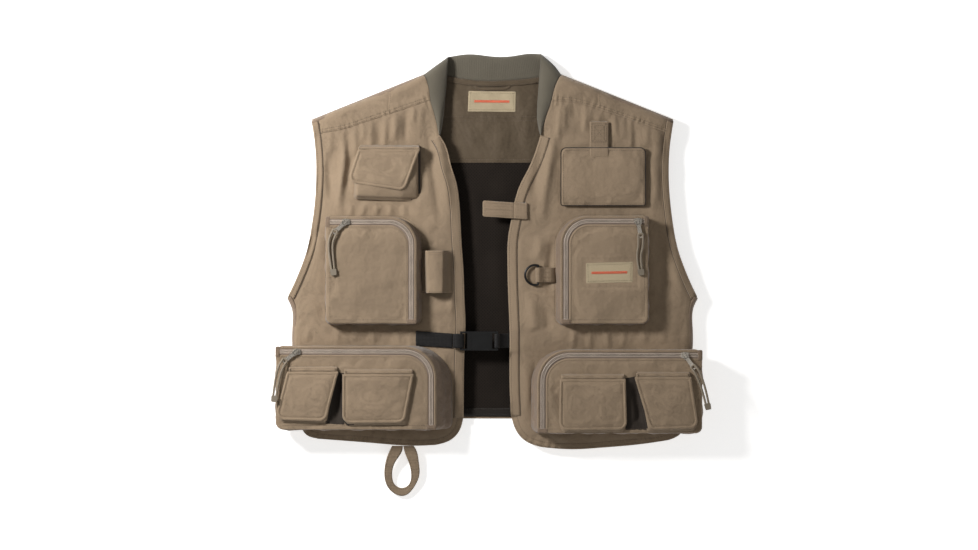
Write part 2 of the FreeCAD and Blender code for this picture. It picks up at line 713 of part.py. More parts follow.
tab_base = rounded([(30.3, 45), (49, 44), (49, 66), (30.3, 67)], 0.8)
register("closure_tab_base",
         plates("closure_tab_base", ([tab_base], "Dims.front_top + Dims.binding", "2.5 mm")))
tab_free = rounded([(-13.5, 48), (29.9, 45), (29.9, 67), (-13.5, 70)], [3, 0.8, 0.8, 3])
register("closure_tab",
         plates("closure_tab", ([tab_free], "Dims.front_top + Dims.binding + 0.2", "2.3 mm")))

# ---------------------------------------------------------------- rod keeper

keeper = outline(("line", [
    (-100.7, 23), (-98.5, 23), (-94, 39), (-69, 39), (-61.5, 23), (-56.5, 23), (-56.5, 21.5),
    (-63, 21.5), (-70, 37.5), (-92.7, 37.5), (-97.2, 21.5), (-100.7, 21.5)]))
register("rod_keeper", along_y("rod_keeper", [keeper], "-1 mm", "Dims.keeper_length"))

# ---------------------------------------------------------------- D-ring

RING_X = 64.6
RING_Y = -35.5
RING_Z = size("front_top") + 3.8


def d_ring():
    radius = size("ring_wire")
    half = size("ring_bar") / 2
    low = FreeCAD.Vector(RING_X, RING_Y - half, RING_Z)
    high = FreeCAD.Vector(RING_X, RING_Y + half, RING_Z)
    tip = FreeCAD.Vector(RING_X - 18.3, RING_Y, RING_Z)
    bow = Part.Arc(low, tip, high).toShape()
    normal = bow.tangentAt(bow.FirstParameter)
    section = Part.Wire(Part.makeCircle(radius, bow.valueAt(bow.FirstParameter), normal))
    tube = Part.Wire(bow).makePipeShell([section], True, False)
    bar = Part.makeCylinder(radius, 2 * half, low, FreeCAD.Vector(0, 1, 0))
    ends = [Part.makeSphere(radius, point) for point in (low, high)]
    return tube.fuse([bar] + ends).removeSplitter()


formed("d_ring", d_ring())
sleeve = Part.makeCylinder(3.8, 21, FreeCAD.Vector(RING_X, RING_Y - 10.5, RING_Z), FreeCAD.Vector(0, 1, 0))
strap = box(RING_X, 89.6, RING_Y - 10.5, RING_Y + 10.5, size("front_top"), size("front_top") + 1.6)
bore = Part.makeCylinder(2.1, 23, FreeCAD.Vector(RING_X, RING_Y - 11.5, RING_Z), FreeCAD.Vector(0, 1, 0))
formed("d_ring_tab", sleeve.fuse(strap).cut(bore).removeSplitter())

# ---------------------------------------------------------------- waist strap and buckle

STRAP_Y = size("strap_centre")
BUCKLE_Z = size("buckle_centre")
HALF = size("buckle_width") / 2
TOP = size("front_top")
WEB = size("webbing_width") / 2

right_strap = outline(("line", [
    (-57, STRAP_Y - WEB + 0.5), (-57, STRAP_Y + WEB + 0.5), (-109, -115), (-109, -135.5)]))
right_web = plates("right_web", ([right_strap], "Dims.front_top", "Dims.webbing"))

left_outer_line = outline(("line", [
    (2.8, 30.2), (9.7, 30.2), (9.7, 25.6), (23.4, 19.8), (80, 19.8), (80, 18.3), (22.9, 18.3),
    (9.4, 23.8), (2.8, 23.8)]))
left_bar_hole = rectangle(4.3, 8.2, 25.3, 28.7)
left_web = along_y("left_web", [left_outer_line, left_bar_hole], f"{STRAP_Y + WEB} mm",
                   "Dims.webbing_width")
group("waist_straps", right_web, left_web)

fold_outer = rounded([(-56.5, 23.6), (-41.0, 23.6), (-41.0, 30.4), (-56.5, 30.4)], 1.2)
fold_inner = rectangle(-55.0, -42.4, 25.1, 28.9)
register("strap_fold",
         along_y("strap_fold", [fold_outer, fold_inner], f"{STRAP_Y + WEB - 0.2} mm",
                 "Dims.webbing_width - 0.4"))


def buckle_female():
    """Socket half: a shell open at the mouth and at both sides, with a webbing bar behind."""
    y_low, y_high = STRAP_Y - HALF, STRAP_Y + HALF
    shell = box(-30, 8, y_low, y_high, BUCKLE_Z - 4.1, BUCKLE_Z + 4.1)
    edges = [e for e in shell.Edges if abs(e.Length - 38) < 0.01]
    shell = shell.makeFillet(1.5, edges)
    cavity = box(-31, -3, STRAP_Y - 11.6, STRAP_Y + 11.6, BUCKLE_Z - 2.4, BUCKLE_Z + 2.4)
    windows = box(-20, -6.5, y_low - 1, y_high + 1, BUCKLE_Z - 2.4, BUCKLE_Z + 2.4)
    slot = box(-0.5, 4.5, STRAP_Y - 11.2, STRAP_Y + 11.2, BUCKLE_Z - 6, BUCKLE_Z + 6)
    thin = box(4.5, 9, STRAP_Y - 11.2, STRAP_Y + 11.2, BUCKLE_Z + 1.5, BUCKLE_Z + 6)
    under = box(4.5, 9, STRAP_Y - 11.2, STRAP_Y + 11.2, BUCKLE_Z - 6, BUCKLE_Z - 1.5)
    return shell.cut(cavity.fuse([windows, slot, thin, under]))


def buckle_male():
    """Plug half without its prongs: a base with a webbing bar and a middle guide."""
    base = box(-46, -30.3, STRAP_Y - HALF, STRAP_Y + HALF, BUCKLE_Z - 3.4, BUCKLE_Z + 3.8)
    edges = [e for e in base.Edges if abs(e.Length - 15.7) < 0.01]
    base = base.makeFillet(1.2, edges)
    window = box(-47, -36, STRAP_Y - 11.2, STRAP_Y + 11.2, BUCKLE_Z - 6, BUCKLE_Z + 6)
    bar = box(-46, -42.8, STRAP_Y - 11.6, STRAP_Y + 11.6, BUCKLE_Z - 1.5, BUCKLE_Z + 1.5)
    guide = box(-31, -8, STRAP_Y - 2, STRAP_Y + 2, BUCKLE_Z - 2.0, BUCKLE_Z + 2.0)
    return base.cut(window).fuse([bar, guide]).removeSplitter()


def prong(sign):
    """One spring prong of the plug half, on the side given by sign."""
    line = [(-30.0, 7.2), (-9, 7.2), (-8, 9.6), (-10, 11.2), (-19, 11.2), (-20.5, 9.8), (-30.0, 9.8)]
    curves = outline(("line", [(x, STRAP_Y + sign * y) for x, y in line]))
    return prism(curves, BUCKLE_Z - 2.1, BUCKLE_Z + 2.1)


formed("buckle_female", buckle_female())
formed("buckle_male", buckle_male())
formed("upper_prong", prong(1))
formed("lower_prong", prong(-1))

# ---------------------------------------------------------------- hem loop

HEM_LOOP_Y = -279.5
loop_outer = outline(
    ("line", [(-112, 3)]),
    ("curve", [(-109, -4), (-105, -22), (-104, -40), (-111, -58), (-127, -72), (-141, -68),
               (-151, -56), (-154, -34), (-149, -12), (-143, 3)]),
)
loop_inner = outline(
    ("curve", [(-138, -22), (-143, -44), (-139, -56), (-128, -60.5), (-119, -55), (-116, -44),
               (-119, -24), (-127, -8)]),
)
hem_loop = plates("hem_loop", ([loop_outer, loop_inner], "0", "Dims.hem_loop_thick"))
slope = FreeCAD.Rotation(FreeCAD.Vector(1, 0, 0), size("hem_loop_slope"))
drop = 72 * math.sin(math.radians(size("hem_loop_slope")))
hem_loop.Placement = FreeCAD.Placement(FreeCAD.Vector(0, HEM_LOOP_Y, drop + 0.8), slope)
register("hem_loop", hem_loop)

# ---------------------------------------------------------------- checks and export

doc.recompute()
bad = [o.Name for o in doc.Objects if {"Invalid", "Error"} & set(o.State)]
assert not bad, f"failed objects: {bad}"
for label, thing in NODES.items():
    shape = thing.Shape
    assert not shape.isNull() and shape.isValid(), f"{label} has no valid shape"
    assert shape.Solids and all(s.Volume > 0 for s in shape.Solids), f"{label} has no solid"
    assert thing.Label == label, f"{label} is labelled {thing.Label}"

os.makedirs("parts", exist_ok=True)
for label, thing in NODES.items():
    thing.Shape.exportStep(f"parts/{label}.step")
    b = thing.Shape.BoundBox
    print(f"{label:28s} {len(thing.Shape.Solids)} solid(s) {thing.Shape.Volume / 1000:8.2f} cm3 "
          f"x {b.XMin:7.1f} {b.XMax:7.1f} y {b.YMin:7.1f} {b.YMax:7.1f} z {b.ZMin:5.1f} {b.ZMax:5.1f}")
print(len(NODES), "nodes")
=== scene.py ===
"""Looks of the fly-fishing vest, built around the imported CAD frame. Lengths below are in millimetres."""

import math
import random

import bpy
import numpy as np
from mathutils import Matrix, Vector
from mathutils.bvhtree import BVHTree
from mathutils.geometry import delaunay_2d_cdt


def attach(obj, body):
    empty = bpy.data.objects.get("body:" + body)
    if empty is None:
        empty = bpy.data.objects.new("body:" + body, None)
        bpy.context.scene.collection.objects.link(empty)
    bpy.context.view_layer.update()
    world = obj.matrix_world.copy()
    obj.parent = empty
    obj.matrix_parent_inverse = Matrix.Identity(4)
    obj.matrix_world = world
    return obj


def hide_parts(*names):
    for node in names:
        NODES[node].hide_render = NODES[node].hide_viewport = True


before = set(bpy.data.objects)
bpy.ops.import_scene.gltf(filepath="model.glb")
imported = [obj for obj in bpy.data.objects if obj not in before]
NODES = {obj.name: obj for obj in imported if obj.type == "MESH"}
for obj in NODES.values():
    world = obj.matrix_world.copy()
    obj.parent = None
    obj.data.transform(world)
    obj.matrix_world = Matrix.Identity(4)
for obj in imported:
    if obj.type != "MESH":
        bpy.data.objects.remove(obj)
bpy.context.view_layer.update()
scene = bpy.context.scene
MM = 0.001
NOWHERE = -99  # asked for as the height where a surface has none
TURN = 6.283
SIXTH = 1.0472

# ---------------------------------------------------------------- camera, lights, floor

DISTANCE = 3.6
WIDTH = 1.3888
eye = bpy.data.cameras.new("camera")
eye.sensor_width = 36
eye.lens = 36 * (DISTANCE - 0.022) / WIDTH
eye.clip_end = 20
camera = bpy.data.objects.new("camera", eye)
camera.location = (-0.005, -0.0355, DISTANCE)
scene.collection.objects.link(camera)
scene.camera = camera


def lamp(name, place, aim, size, watts, colour=(1, 1, 1)):
    light = bpy.data.lights.new(name, "AREA")
    light.shape = "DISK"
    light.size = size
    light.energy = watts
    light.color = colour
    thing = bpy.data.objects.new(name, light)
    thing.location = place
    thing.rotation_euler = (Vector(aim) - Vector(place)).to_track_quat("-Z", "Y").to_euler()
    scene.collection.objects.link(thing)


lamp("key", (-0.86, 0.42, 0.80), (-0.06, -0.02, 0), 0.27, 17.5, (1, 0.985, 0.965))
lamp("fill", (0.9, -1.1, 1.9), (0, -0.05, 0), 1.8, 5, (1, 0.98, 0.95))
world = bpy.data.worlds.new("studio")
world.use_nodes = True
world.node_tree.nodes["Background"].inputs["Color"].default_value = (1.0, 0.98, 0.95, 1)
world.node_tree.nodes["Background"].inputs["Strength"].default_value = 0.23
scene.world = world
scene.view_settings.view_transform = "Standard"

# ---------------------------------------------------------------- materials


class Graph:
    """Small helper around one material's nodes."""

    def __init__(self, name, **sockets):
        self.material = bpy.data.materials.new(name)
        self.material.use_nodes = True
        self.tree = self.material.node_tree
        self.shader = self.tree.nodes["Principled BSDF"]
        for key, value in sockets.items():
            self.shader.inputs[key.replace("_", " ")].default_value = value

    def add(self, kind, **values):
        node = self.tree.nodes.new(kind)
        for key, value in values.items():
            if key in node.inputs:
                if isinstance(value, bpy.types.NodeSocket):
                    self.tree.links.new(value, node.inputs[key])
                else:
                    node.inputs[key].default_value = value
            else:
                setattr(node, key, value)
        return node

    def link(self, source, socket):
        self.tree.links.new(source, self.shader.inputs[socket])

    def place(self, *scale, turn=0.0, of="Object"):
        spot = self.add("ShaderNodeTexCoord").outputs[of]
        return self.add("ShaderNodeMapping", Vector=spot, Scale=scale,
                        Rotation=(0, 0, turn)).outputs["Vector"]

    def noise(self, scale, detail=3.0, rough=0.55, spot=None):
        spot = spot or self.place(1, 1, 1)
        return self.add("ShaderNodeTexNoise", Vector=spot, Scale=scale, Detail=detail,
                        Roughness=rough).outputs["Fac"]

    def wave(self, axis, pitch, spot=None, distortion=0.6):
        """Bands across one axis, this many metres apart."""
        spot = spot or self.place(1, 1, 1)
        return self.add("ShaderNodeTexWave", bands_direction=axis, Vector=spot, Scale=0.314 / pitch,
                        Distortion=distortion, Detail=1.0).outputs["Fac"]

    def math(self, kind, one, two):
        node = self.add("ShaderNodeMath", operation=kind)
        for socket, value in zip(node.inputs, (one, two)):
            if isinstance(value, bpy.types.NodeSocket):
                self.tree.links.new(value, socket)
            else:
                socket.default_value = value
        return node.outputs[0]

    def ramp(self, source, *stops):
        node = self.add("ShaderNodeValToRGB", Fac=source)
        while len(node.color_ramp.elements) < len(stops):
            node.color_ramp.elements.new(0.5)
        for element, (spot, colour) in zip(node.color_ramp.elements, stops):
            element.position = spot
            element.color = (*colour, 1) if len(colour) == 3 else colour
        return node.outputs["Color"]

    def mix(self, factor, one, two, kind="MIX"):
        node = self.add("ShaderNodeMix", data_type="RGBA", blend_type=kind)
        for index, value in ((0, factor), (6, one), (7, two)):
            if isinstance(value, bpy.types.NodeSocket):
                self.tree.links.new(value, node.inputs[index])
            elif index == 0:
                node.inputs[0].default_value = value
            else:
                node.inputs[index].default_value = (*value, 1)
        return node.outputs[2]

    def bump(self, height, distance, strength=1.0, after=None):
        values = {"Height": height, "Distance": distance, "Strength": strength}
        if after is not None:
            values["Normal"] = after
        return self.add("ShaderNodeBump", **values).outputs["Normal"]


def tint(colour, factor):
    return tuple(min(1.0, c * factor) for c in colour)


def grey(level):
    return (level, level, level)


def cloth(name, colour, pitch=0.0009, rough=0.82, sheen=0.22, depth=0.00012, worn=1.18, blotch=0.10,
          crumple=0.0):
    """Plain-woven cloth: two sets of threads, uneven dye, paler wear along folded edges."""
    g = Graph(name, Roughness=rough, Sheen_Weight=sheen, Sheen_Roughness=0.45)
    g.shader.inputs["Specular IOR Level"].default_value = 0.25
    dye = g.ramp(g.noise(7, 5, 0.6), (0.28, tint(colour, 1 - blotch)), (0.72, tint(colour, 1 + blotch)))
    fleck = g.ramp(g.noise(900, 2, 0.7), (0.3, grey(0.93)), (0.7, grey(1.06)))
    base = g.mix(1.0, dye, fleck, "MULTIPLY")
    yarn = g.math("MULTIPLY", g.math("ADD", g.wave("X", pitch), g.wave("Z", pitch)), g.wave("Y", pitch))
    base = g.mix(g.math("MULTIPLY", yarn, 0.10), base, tint(colour, 0.55))
    edge = g.add("ShaderNodeNewGeometry").outputs["Pointiness"]
    pale = g.ramp(edge, (0.515, grey(0)), (0.60, grey(0.55)))
    base = g.mix(pale, base, tint(colour, worn))
    g.link(base, "Base Color")
    g.link(g.math("ADD", g.math("MULTIPLY", g.noise(40, 2), 0.12), rough - 0.08), "Roughness")
    relief = g.bump(yarn, depth, 0.9)
    relief = g.bump(g.noise(110, 4, 0.6), 0.0005, 0.5, relief)
    if crumple:
        relief = g.bump(g.noise(26, 3, 0.55), 0.0065 * crumple, 0.7, relief)
        relief = g.bump(g.noise(10, 2, 0.4), 0.024 * crumple, 0.7, relief)
    g.link(relief, "Normal")
    return g.material


TAN = (0.292, 0.217, 0.146)
poplin = cloth("poplin", TAN, pitch=0.00065, crumple=1.0)
# painted shade: a darker copy of the poplin for walls, gussets, side panels, seams and backing
poplin_shade = cloth("poplin_painted_shade", (0.228, 0.166, 0.119), pitch=0.00065, crumple=1.6)
# painted shade: the tan lining cloth is darkened for the shade inside the vest
lining_tan = cloth("yoke_lining", (0.100, 0.073, 0.046), rough=0.7, sheen=0.15, crumple=1.0)
# painted shade: near-black cloth put in deep gaps, mouths and hollows
painted_deep_shade = cloth("painted_deep_shade_cloth", (0.035, 0.027, 0.021), rough=0.85, sheen=0.1, worn=1.5)
thread = cloth("thread", tint(TAN, 0.50), pitch=0.0004, rough=0.6, sheen=0.1, depth=0.00005)
label_cloth = cloth("label_cloth", (0.45, 0.37, 0.245), pitch=0.0007, rough=0.7, worn=1.25, blotch=0.05)
label_mark = cloth("label_mark", (0.72, 0.17, 0.09), pitch=0.0007, rough=0.6, worn=1.1, blotch=0.08)
tape_cloth = cloth("zip_tape", (0.215, 0.166, 0.136), pitch=0.0012, rough=0.75, worn=1.2, blotch=0.05)
tan_web = cloth("tan_webbing", tint(TAN, 0.93), pitch=0.0021, rough=0.8, depth=0.0003, blotch=0.06)
black_web = cloth("black_webbing", (0.0085, 0.008, 0.008), pitch=0.0019, rough=0.62, sheen=0.12,
                  depth=0.0003, worn=1.9, blotch=0.2)
binding_cloth = cloth("binding_cloth", tint(TAN, 0.95), pitch=0.0008)
# painted shade: a thin dark cord along the bindings' seams stands in for the shade in the seam's groove
painted_seam_shade = cloth("painted_seam_shade", (0.105, 0.079, 0.055), pitch=0.0008, worn=1.3)
# painted shade: near-black cloth for the lining's hem band and the fold-down panel's outline
painted_edge_shade = cloth("painted_edge_shade", (0.016, 0.012, 0.009), pitch=0.0008, worn=1.3)


def knit():
    """Rib knit: ribs are in the mesh, this adds the stitches on them."""
    g = Graph("rib_knit", Roughness=0.86, Sheen_Weight=0.35, Sheen_Roughness=0.5)
    g.shader.inputs["Specular IOR Level"].default_value = 0.2
    # the knit's own olive colour, darkened a little as painted shade for the back band
    colour = (0.116, 0.103, 0.078)
    base = g.ramp(g.noise(14, 4), (0.3, tint(colour, 0.88)), (0.7, tint(colour, 1.12)))
    edge = g.add("ShaderNodeNewGeometry").outputs["Pointiness"]
    # painted shade: the grooves between the ribs are darker; the rib tops are paler
    base = g.mix(g.ramp(edge, (0.40, grey(0.6)), (0.50, grey(0))), base, tint(colour, 0.5))
    base = g.mix(g.ramp(edge, (0.51, grey(0)), (0.60, grey(0.5))), base, tint(colour, 1.45))
    g.link(base, "Base Color")
    loops = g.math("MULTIPLY", g.wave("X", 0.0016, g.place(1, 1, 1, turn=0.8)),
                   g.wave("Y", 0.0016, g.place(1, 1, 1, turn=0.8)))
    g.link(g.bump(g.noise(500, 3), 0.0003, 0.4, g.bump(loops, 0.0004, 0.6)), "Normal")
    return g.material


def lining_mesh():
    """Knitted mesh with round holes in staggered rows."""
    g = Graph("mesh_lining", Roughness=0.88, Sheen_Weight=0.08, Sheen_Roughness=0.5)
    g.shader.inputs["Specular IOR Level"].default_value = 0.15
    holes = g.math("MULTIPLY", g.wave("X", 0.0032, g.place(1, 1, 1, turn=0.785), 0.0),
                   g.wave("Y", 0.0032, g.place(1, 1, 1, turn=0.785), 0.0))
    net = g.ramp(holes, (0.45, (0.014, 0.0100, 0.0075)), (0.62, (0.003, 0.0025, 0.002)))
    base = g.mix(g.ramp(g.noise(16, 4), (0.35, grey(0.0)), (0.75, grey(0.5))), net, (0.022, 0.016, 0.012))
    g.link(base, "Base Color")
    g.link(g.bump(g.math("SUBTRACT", 1.0, holes), 0.0005, 0.8), "Normal")
    return g.material


def metal(name, colour, rough):
    """Plated metal: fine tumbling marks, tarnish in the hollows, polish on the high edges."""
    g = Graph(name, Metallic=1.0, Roughness=rough)
    edge = g.add("ShaderNodeNewGeometry").outputs["Pointiness"]
    base = g.ramp(g.noise(160, 4), (0.3, tint(colour, 0.62)), (0.7, tint(colour, 1.1)))
    base = g.mix(g.ramp(edge, (0.43, grey(0.85)), (0.50, grey(0))), base, tint(colour, 0.22))
    base = g.mix(g.ramp(edge, (0.52, grey(0)), (0.62, grey(0.9))), base, tint(colour, 1.4))
    g.link(base, "Base Color")
    g.link(g.math("ADD", g.math("MULTIPLY", g.noise(420, 3), 0.22), rough - 0.1), "Roughness")
    g.link(g.bump(g.noise(700, 3, 0.7), 0.0001, 0.25), "Normal")
    return g.material


def plastic(name, colour, rough, grain=900.0, worn=2.2):
    """Moulded plastic: fine spark-eroded grain, scuffed along its edges."""
    g = Graph(name, Roughness=rough)
    g.shader.inputs["Specular IOR Level"].default_value = 0.45
    edge = g.add("ShaderNodeNewGeometry").outputs["Pointiness"]
    base = g.ramp(g.noise(60, 3), (0.3, tint(colour, 0.85)), (0.7, tint(colour, 1.15)))
    base = g.mix(g.ramp(edge, (0.53, grey(0)), (0.64, grey(0.5))), base, tint(colour, worn))
    g.link(base, "Base Color")
    g.link(g.math("ADD", g.math("MULTIPLY", g.noise(90, 3), 0.2), rough - 0.1), "Roughness")
    g.link(g.bump(g.noise(grain, 3, 0.7), 0.0001, 0.5), "Normal")
    return g.material


def braid(name, colour):
    """Braided cord: two sets of strands that cross at a slant."""
    g = Graph(name, Roughness=0.66, Sheen_Weight=0.2, Sheen_Roughness=0.4)
    one = g.wave("X", 0.0016, g.place(1, 1, 1, turn=0.65), 0.2)
    two = g.wave("Y", 0.0016, g.place(1, 1, 1, turn=0.65), 0.2)
    strands = g.math("MAXIMUM", one, two)
    base = g.ramp(strands, (0.2, tint(colour, 0.55)), (0.8, tint(colour, 1.08)))
    base = g.mix(g.ramp(g.noise(90, 3), (0.4, grey(0)), (0.7, grey(0.35))), base, tint(colour, 0.8))
    g.link(base, "Base Color")
    g.link(g.bump(strands, 0.0004, 0.9), "Normal")
    return g.material


rib_knit = knit()
mesh_net = lining_mesh()
nickel = metal("antique_nickel", (0.72, 0.66, 0.58), 0.26)
acetal = plastic("black_acetal", (0.0045, 0.0045, 0.0048), 0.34)
grip_rubber = plastic("grip_rubber", (0.17, 0.143, 0.108), 0.6, 500.0, 1.4)
coil_nylon = plastic("zip_coil", (0.43, 0.36, 0.30), 0.38, 1200.0, 1.5)
cord_braid = braid("cord_braid", (0.25, 0.205, 0.150))


def floor():
    """Plain white paper on the table."""
    g = Graph("paper", Roughness=0.9)
    g.shader.inputs["Specular IOR Level"].default_value = 0.1
    g.link(g.ramp(g.noise(3, 4), (0.3, grey(0.90)), (0.7, grey(0.93))), "Base Color")
    g.shader.inputs["Emission Color"].default_value = (1, 1, 1, 1)
    g.shader.inputs["Emission Strength"].default_value = 0.60
    g.link(g.bump(g.noise(300, 4), 0.0002, 0.3), "Normal")
    mesh = bpy.data.meshes.new("floor")
    count, reach = 24, 3.0
    side = np.linspace(-reach, reach, count + 1)
    spots = [(x, y, -0.0002) for y in side for x in side]
    quads = [(r * (count + 1) + c, r * (count + 1) + c + 1, (r + 1) * (count + 1) + c + 1,
              (r + 1) * (count + 1) + c) for r in range(count) for c in range(count)]
    mesh.from_pydata(spots, [], quads)
    thing = bpy.data.objects.new("floor", mesh)
    thing.data.materials.append(g.material)
    scene.collection.objects.link(thing)


floor()

# ---------------------------------------------------------------- cords of the zip pulls

CORDS = {
    # slider x, y, pin height; direction of the tab; centre line after the eye; length of the cord
    "right_chest": (-207, 39.6, 47.6, 223, [(-228.5, 12, 48.2), (-228, -6, 47.4), (-225, -27, 47.0)]),
    "left_chest": (205, 40.6, 47.6, -80, [(209, 5, 48.0), (205.5, -10, 47.4), (208.5, -27, 47.0)]),
    "right_lower": (-276, -143.4, 53.6, 218,
                    [(-298, -164.5, 59.9), (-303, -183, 60.0), (-306, -205, 60.2)]),
    "left_lower": (270.5, -148.4, 53.6, -54,
                   [(288, -172.5, 59.9), (296.5, -194, 60.0), (301.5, -216, 60.2)]),
}
for name, (x, y, pin, direction, line) in CORDS.items():
    angle = math.radians(direction)
    fold = Vector((x + 21.5 * math.cos(angle), y + 21.5 * math.sin(angle), pin + 1.2))
    points = [fold] + [Vector(p) for p in line]
    last = len(points) - 1
    along = (points[1] - points[0]).normalized()
    side = Vector((-along.y, along.x, 0)).normalized()
    turn = [fold - along * 3.2 + side * 3.2, fold - along * 3.2 - side * 3.2]
    strands = ([], [])
    for k, point in enumerate(points):
        if k > 1:
            ahead = points[min(k + 1, last)] - points[k - 1]
            side = Vector((-ahead.y, ahead.x, 0)).normalized()
        offset = 3.2 + (2.1 - 3.2) * max(k - 1, 0) / (last - 1)
        strands[0].append(point + side * offset)
        strands[1].append(point - side * offset)
    route = strands[0][::-1] + turn + strands[1]
    data = bpy.data.curves.new(name + "_cord", "CURVE")
    data.dimensions = "3D"
    data.bevel_depth = 1.6 * MM
    data.bevel_resolution = 5
    data.resolution_u = 12
    data.use_fill_caps = True
    line = data.splines.new("NURBS")
    line.points.add(len(route) - 1)
    for spot, point in zip(line.points, route):
        spot.co = (*(point * MM), 1)
    line.order_u = 3
    line.use_endpoint_u = True
    data.materials.append(cord_braid)
    cord = bpy.data.objects.new(name + "_cord", data)
    scene.collection.objects.link(cord)
    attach(cord, name + "_pull")
    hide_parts(name + "_cord_pull")

# ---------------------------------------------------------------- lines and surfaces


def curve(points, step=3.0):
    """Smooth line through the points, sampled about every step."""
    p = np.array(points, float)
    t = np.r_[0, np.cumsum(np.linalg.norm(np.diff(p, axis=0), axis=1))]
    h = np.diff(t)
    n = len(p)
    rows = np.eye(n)
    right = np.zeros_like(p)
    for i in range(1, n - 1):
        rows[i, i - 1:i + 2] = h[i - 1], 2 * (h[i - 1] + h[i]), h[i]
        right[i] = 6 * ((p[i + 1] - p[i]) / h[i] - (p[i] - p[i - 1]) / h[i - 1])
    m = np.linalg.solve(rows, right)
    s = np.linspace(0, t[-1], max(2, int(round(t[-1] / step)) + 1))
    k = np.clip(np.searchsorted(t, s, side="right") - 1, 0, n - 2)
    b = ((s - t[k]) / h[k])[:, None]
    a = 1 - b
    return a * p[k] + b * p[k + 1] + ((a ** 3 - a) * m[k] + (b ** 3 - b) * m[k + 1]) * (h[k] ** 2)[:,
            None] / 6


def spaced(points, step=3.0, closed=False):
    """The same line with its corners kept, sampled about every step."""
    p = np.array(points, float)
    if closed:
        p = np.vstack([p, p[:1]])
    out = []
    for a, b in zip(p, p[1:]):
        n = max(1, int(round(np.linalg.norm(b - a) / step)))
        out += [a + (b - a) * k / n for k in range(n)]
    if not closed:
        out.append(p[-1])
    return np.array(out)


def even(points, step):
    """Points at even distances along a line."""
    p = np.array(points, float)
    t = np.r_[0, np.cumsum(np.linalg.norm(np.diff(p, axis=0), axis=1))]
    s = np.linspace(0, t[-1], max(2, int(round(t[-1] / step)) + 1))
    return np.c_[tuple(np.interp(s, t, p[:, k]) for k in range(p.shape[1]))]


def outline(*runs, step=3.0):
    here = np.array(runs[-1][1][-1], float)
    out = []
    for kind, points in runs:
        line = [here] + [np.array(p, float) for p in points]
        line = curve(line, step) if kind == "curve" and len(line) > 2 else spaced(line, step)
        out.append(line[1:])
        here = line[-1]
    return np.vstack(out)


def rounded(points, radii, side=10, arc=8):
    """Polygon with rounded corners; the same counts on every call keep two of them point to point."""
    p = np.array(points, float)
    n = len(p)
    radii = radii if isinstance(radii, (list, tuple)) else [radii] * n
    corners = []
    for k in range(n):
        back = p[k - 1] - p[k]
        ahead = p[(k + 1) % n] - p[k]
        back /= np.linalg.norm(back)
        ahead /= np.linalg.norm(ahead)
        half = math.acos(np.clip(back @ ahead, -1, 1)) / 2
        middle = (back + ahead) / np.linalg.norm(back + ahead)
        centre = p[k] + middle * radii[k] / math.sin(half)
        start = p[k] + back * radii[k] / math.tan(half) - centre
        end = p[k] + ahead * radii[k] / math.tan(half) - centre
        a0 = math.atan2(start[1], start[0])
        sweep = (math.atan2(end[1], end[0]) - a0 + math.pi) % (2 * math.pi) - math.pi
        corners.append([centre + radii[k] * np.array((math.cos(a0 + sweep * j / arc),
                                                      math.sin(a0 + sweep * j / arc)))
                        for j in range(arc + 1)])
    out = []
    for k in range(n):
        out += corners[k]
        a, b = corners[k][-1], corners[(k + 1) % n][0]
        out += [a + (b - a) * j / side for j in range(1, side)]
    return np.array(out)


def area(loop):
    x, y = loop[:, 0], loop[:, 1]
    return 0.5 * float(np.sum(x * np.roll(y, -1) - np.roll(x, -1) * y))


def normals(line, closed):
    """Unit normals in XY, to the left of the line's direction."""
    p = line[:, :2]
    if closed:
        t = np.roll(p, -1, 0) - np.roll(p, 1, 0)
    else:
        t = np.gradient(p, axis=0)
    t /= np.maximum(np.linalg.norm(t, axis=1), 1e-9)[:, None]
    return np.c_[-t[:, 1], t[:, 0]]


def inward(loop, distance):
    loop = np.asarray(loop)[:, :2]
    return loop + normals(loop, True) * (distance if area(loop) > 0 else -distance)


def inside(loop, pts):
    x, y = pts[:, 0], pts[:, 1]
    hit = np.zeros(len(pts), bool)
    for (x0, y0), (x1, y1) in zip(loop, np.roll(loop, -1, 0)):
        if y0 != y1:
            cross = (y0 > y) != (y1 > y)
            hit ^= cross & (x < (x1 - x0) * (y - y0) / (y1 - y0) + x0)
    return hit


def near(line, x, y, closed=False):
    """Distance to a line, and how far along it the nearest point is."""
    p = np.asarray(line, float)[:, :2]
    if closed:
        p = np.vstack([p, p[:1]])
    best = np.full(np.shape(x), 1e9)
    along = np.zeros(np.shape(x))
    run = 0.0
    for a, b in zip(p, p[1:]):
        d = b - a
        size = math.hypot(*d)
        if size < 1e-9:
            continue
        t = np.clip(((x - a[0]) * d[0] + (y - a[1]) * d[1]) / size ** 2, 0, 1)
        gap = np.hypot(x - a[0] - t * d[0], y - a[1] - t * d[1])
        closer = gap < best
        best = np.where(closer, gap, best)
        along = np.where(closer, run + t * size, along)
        run += size
    return best, along, run


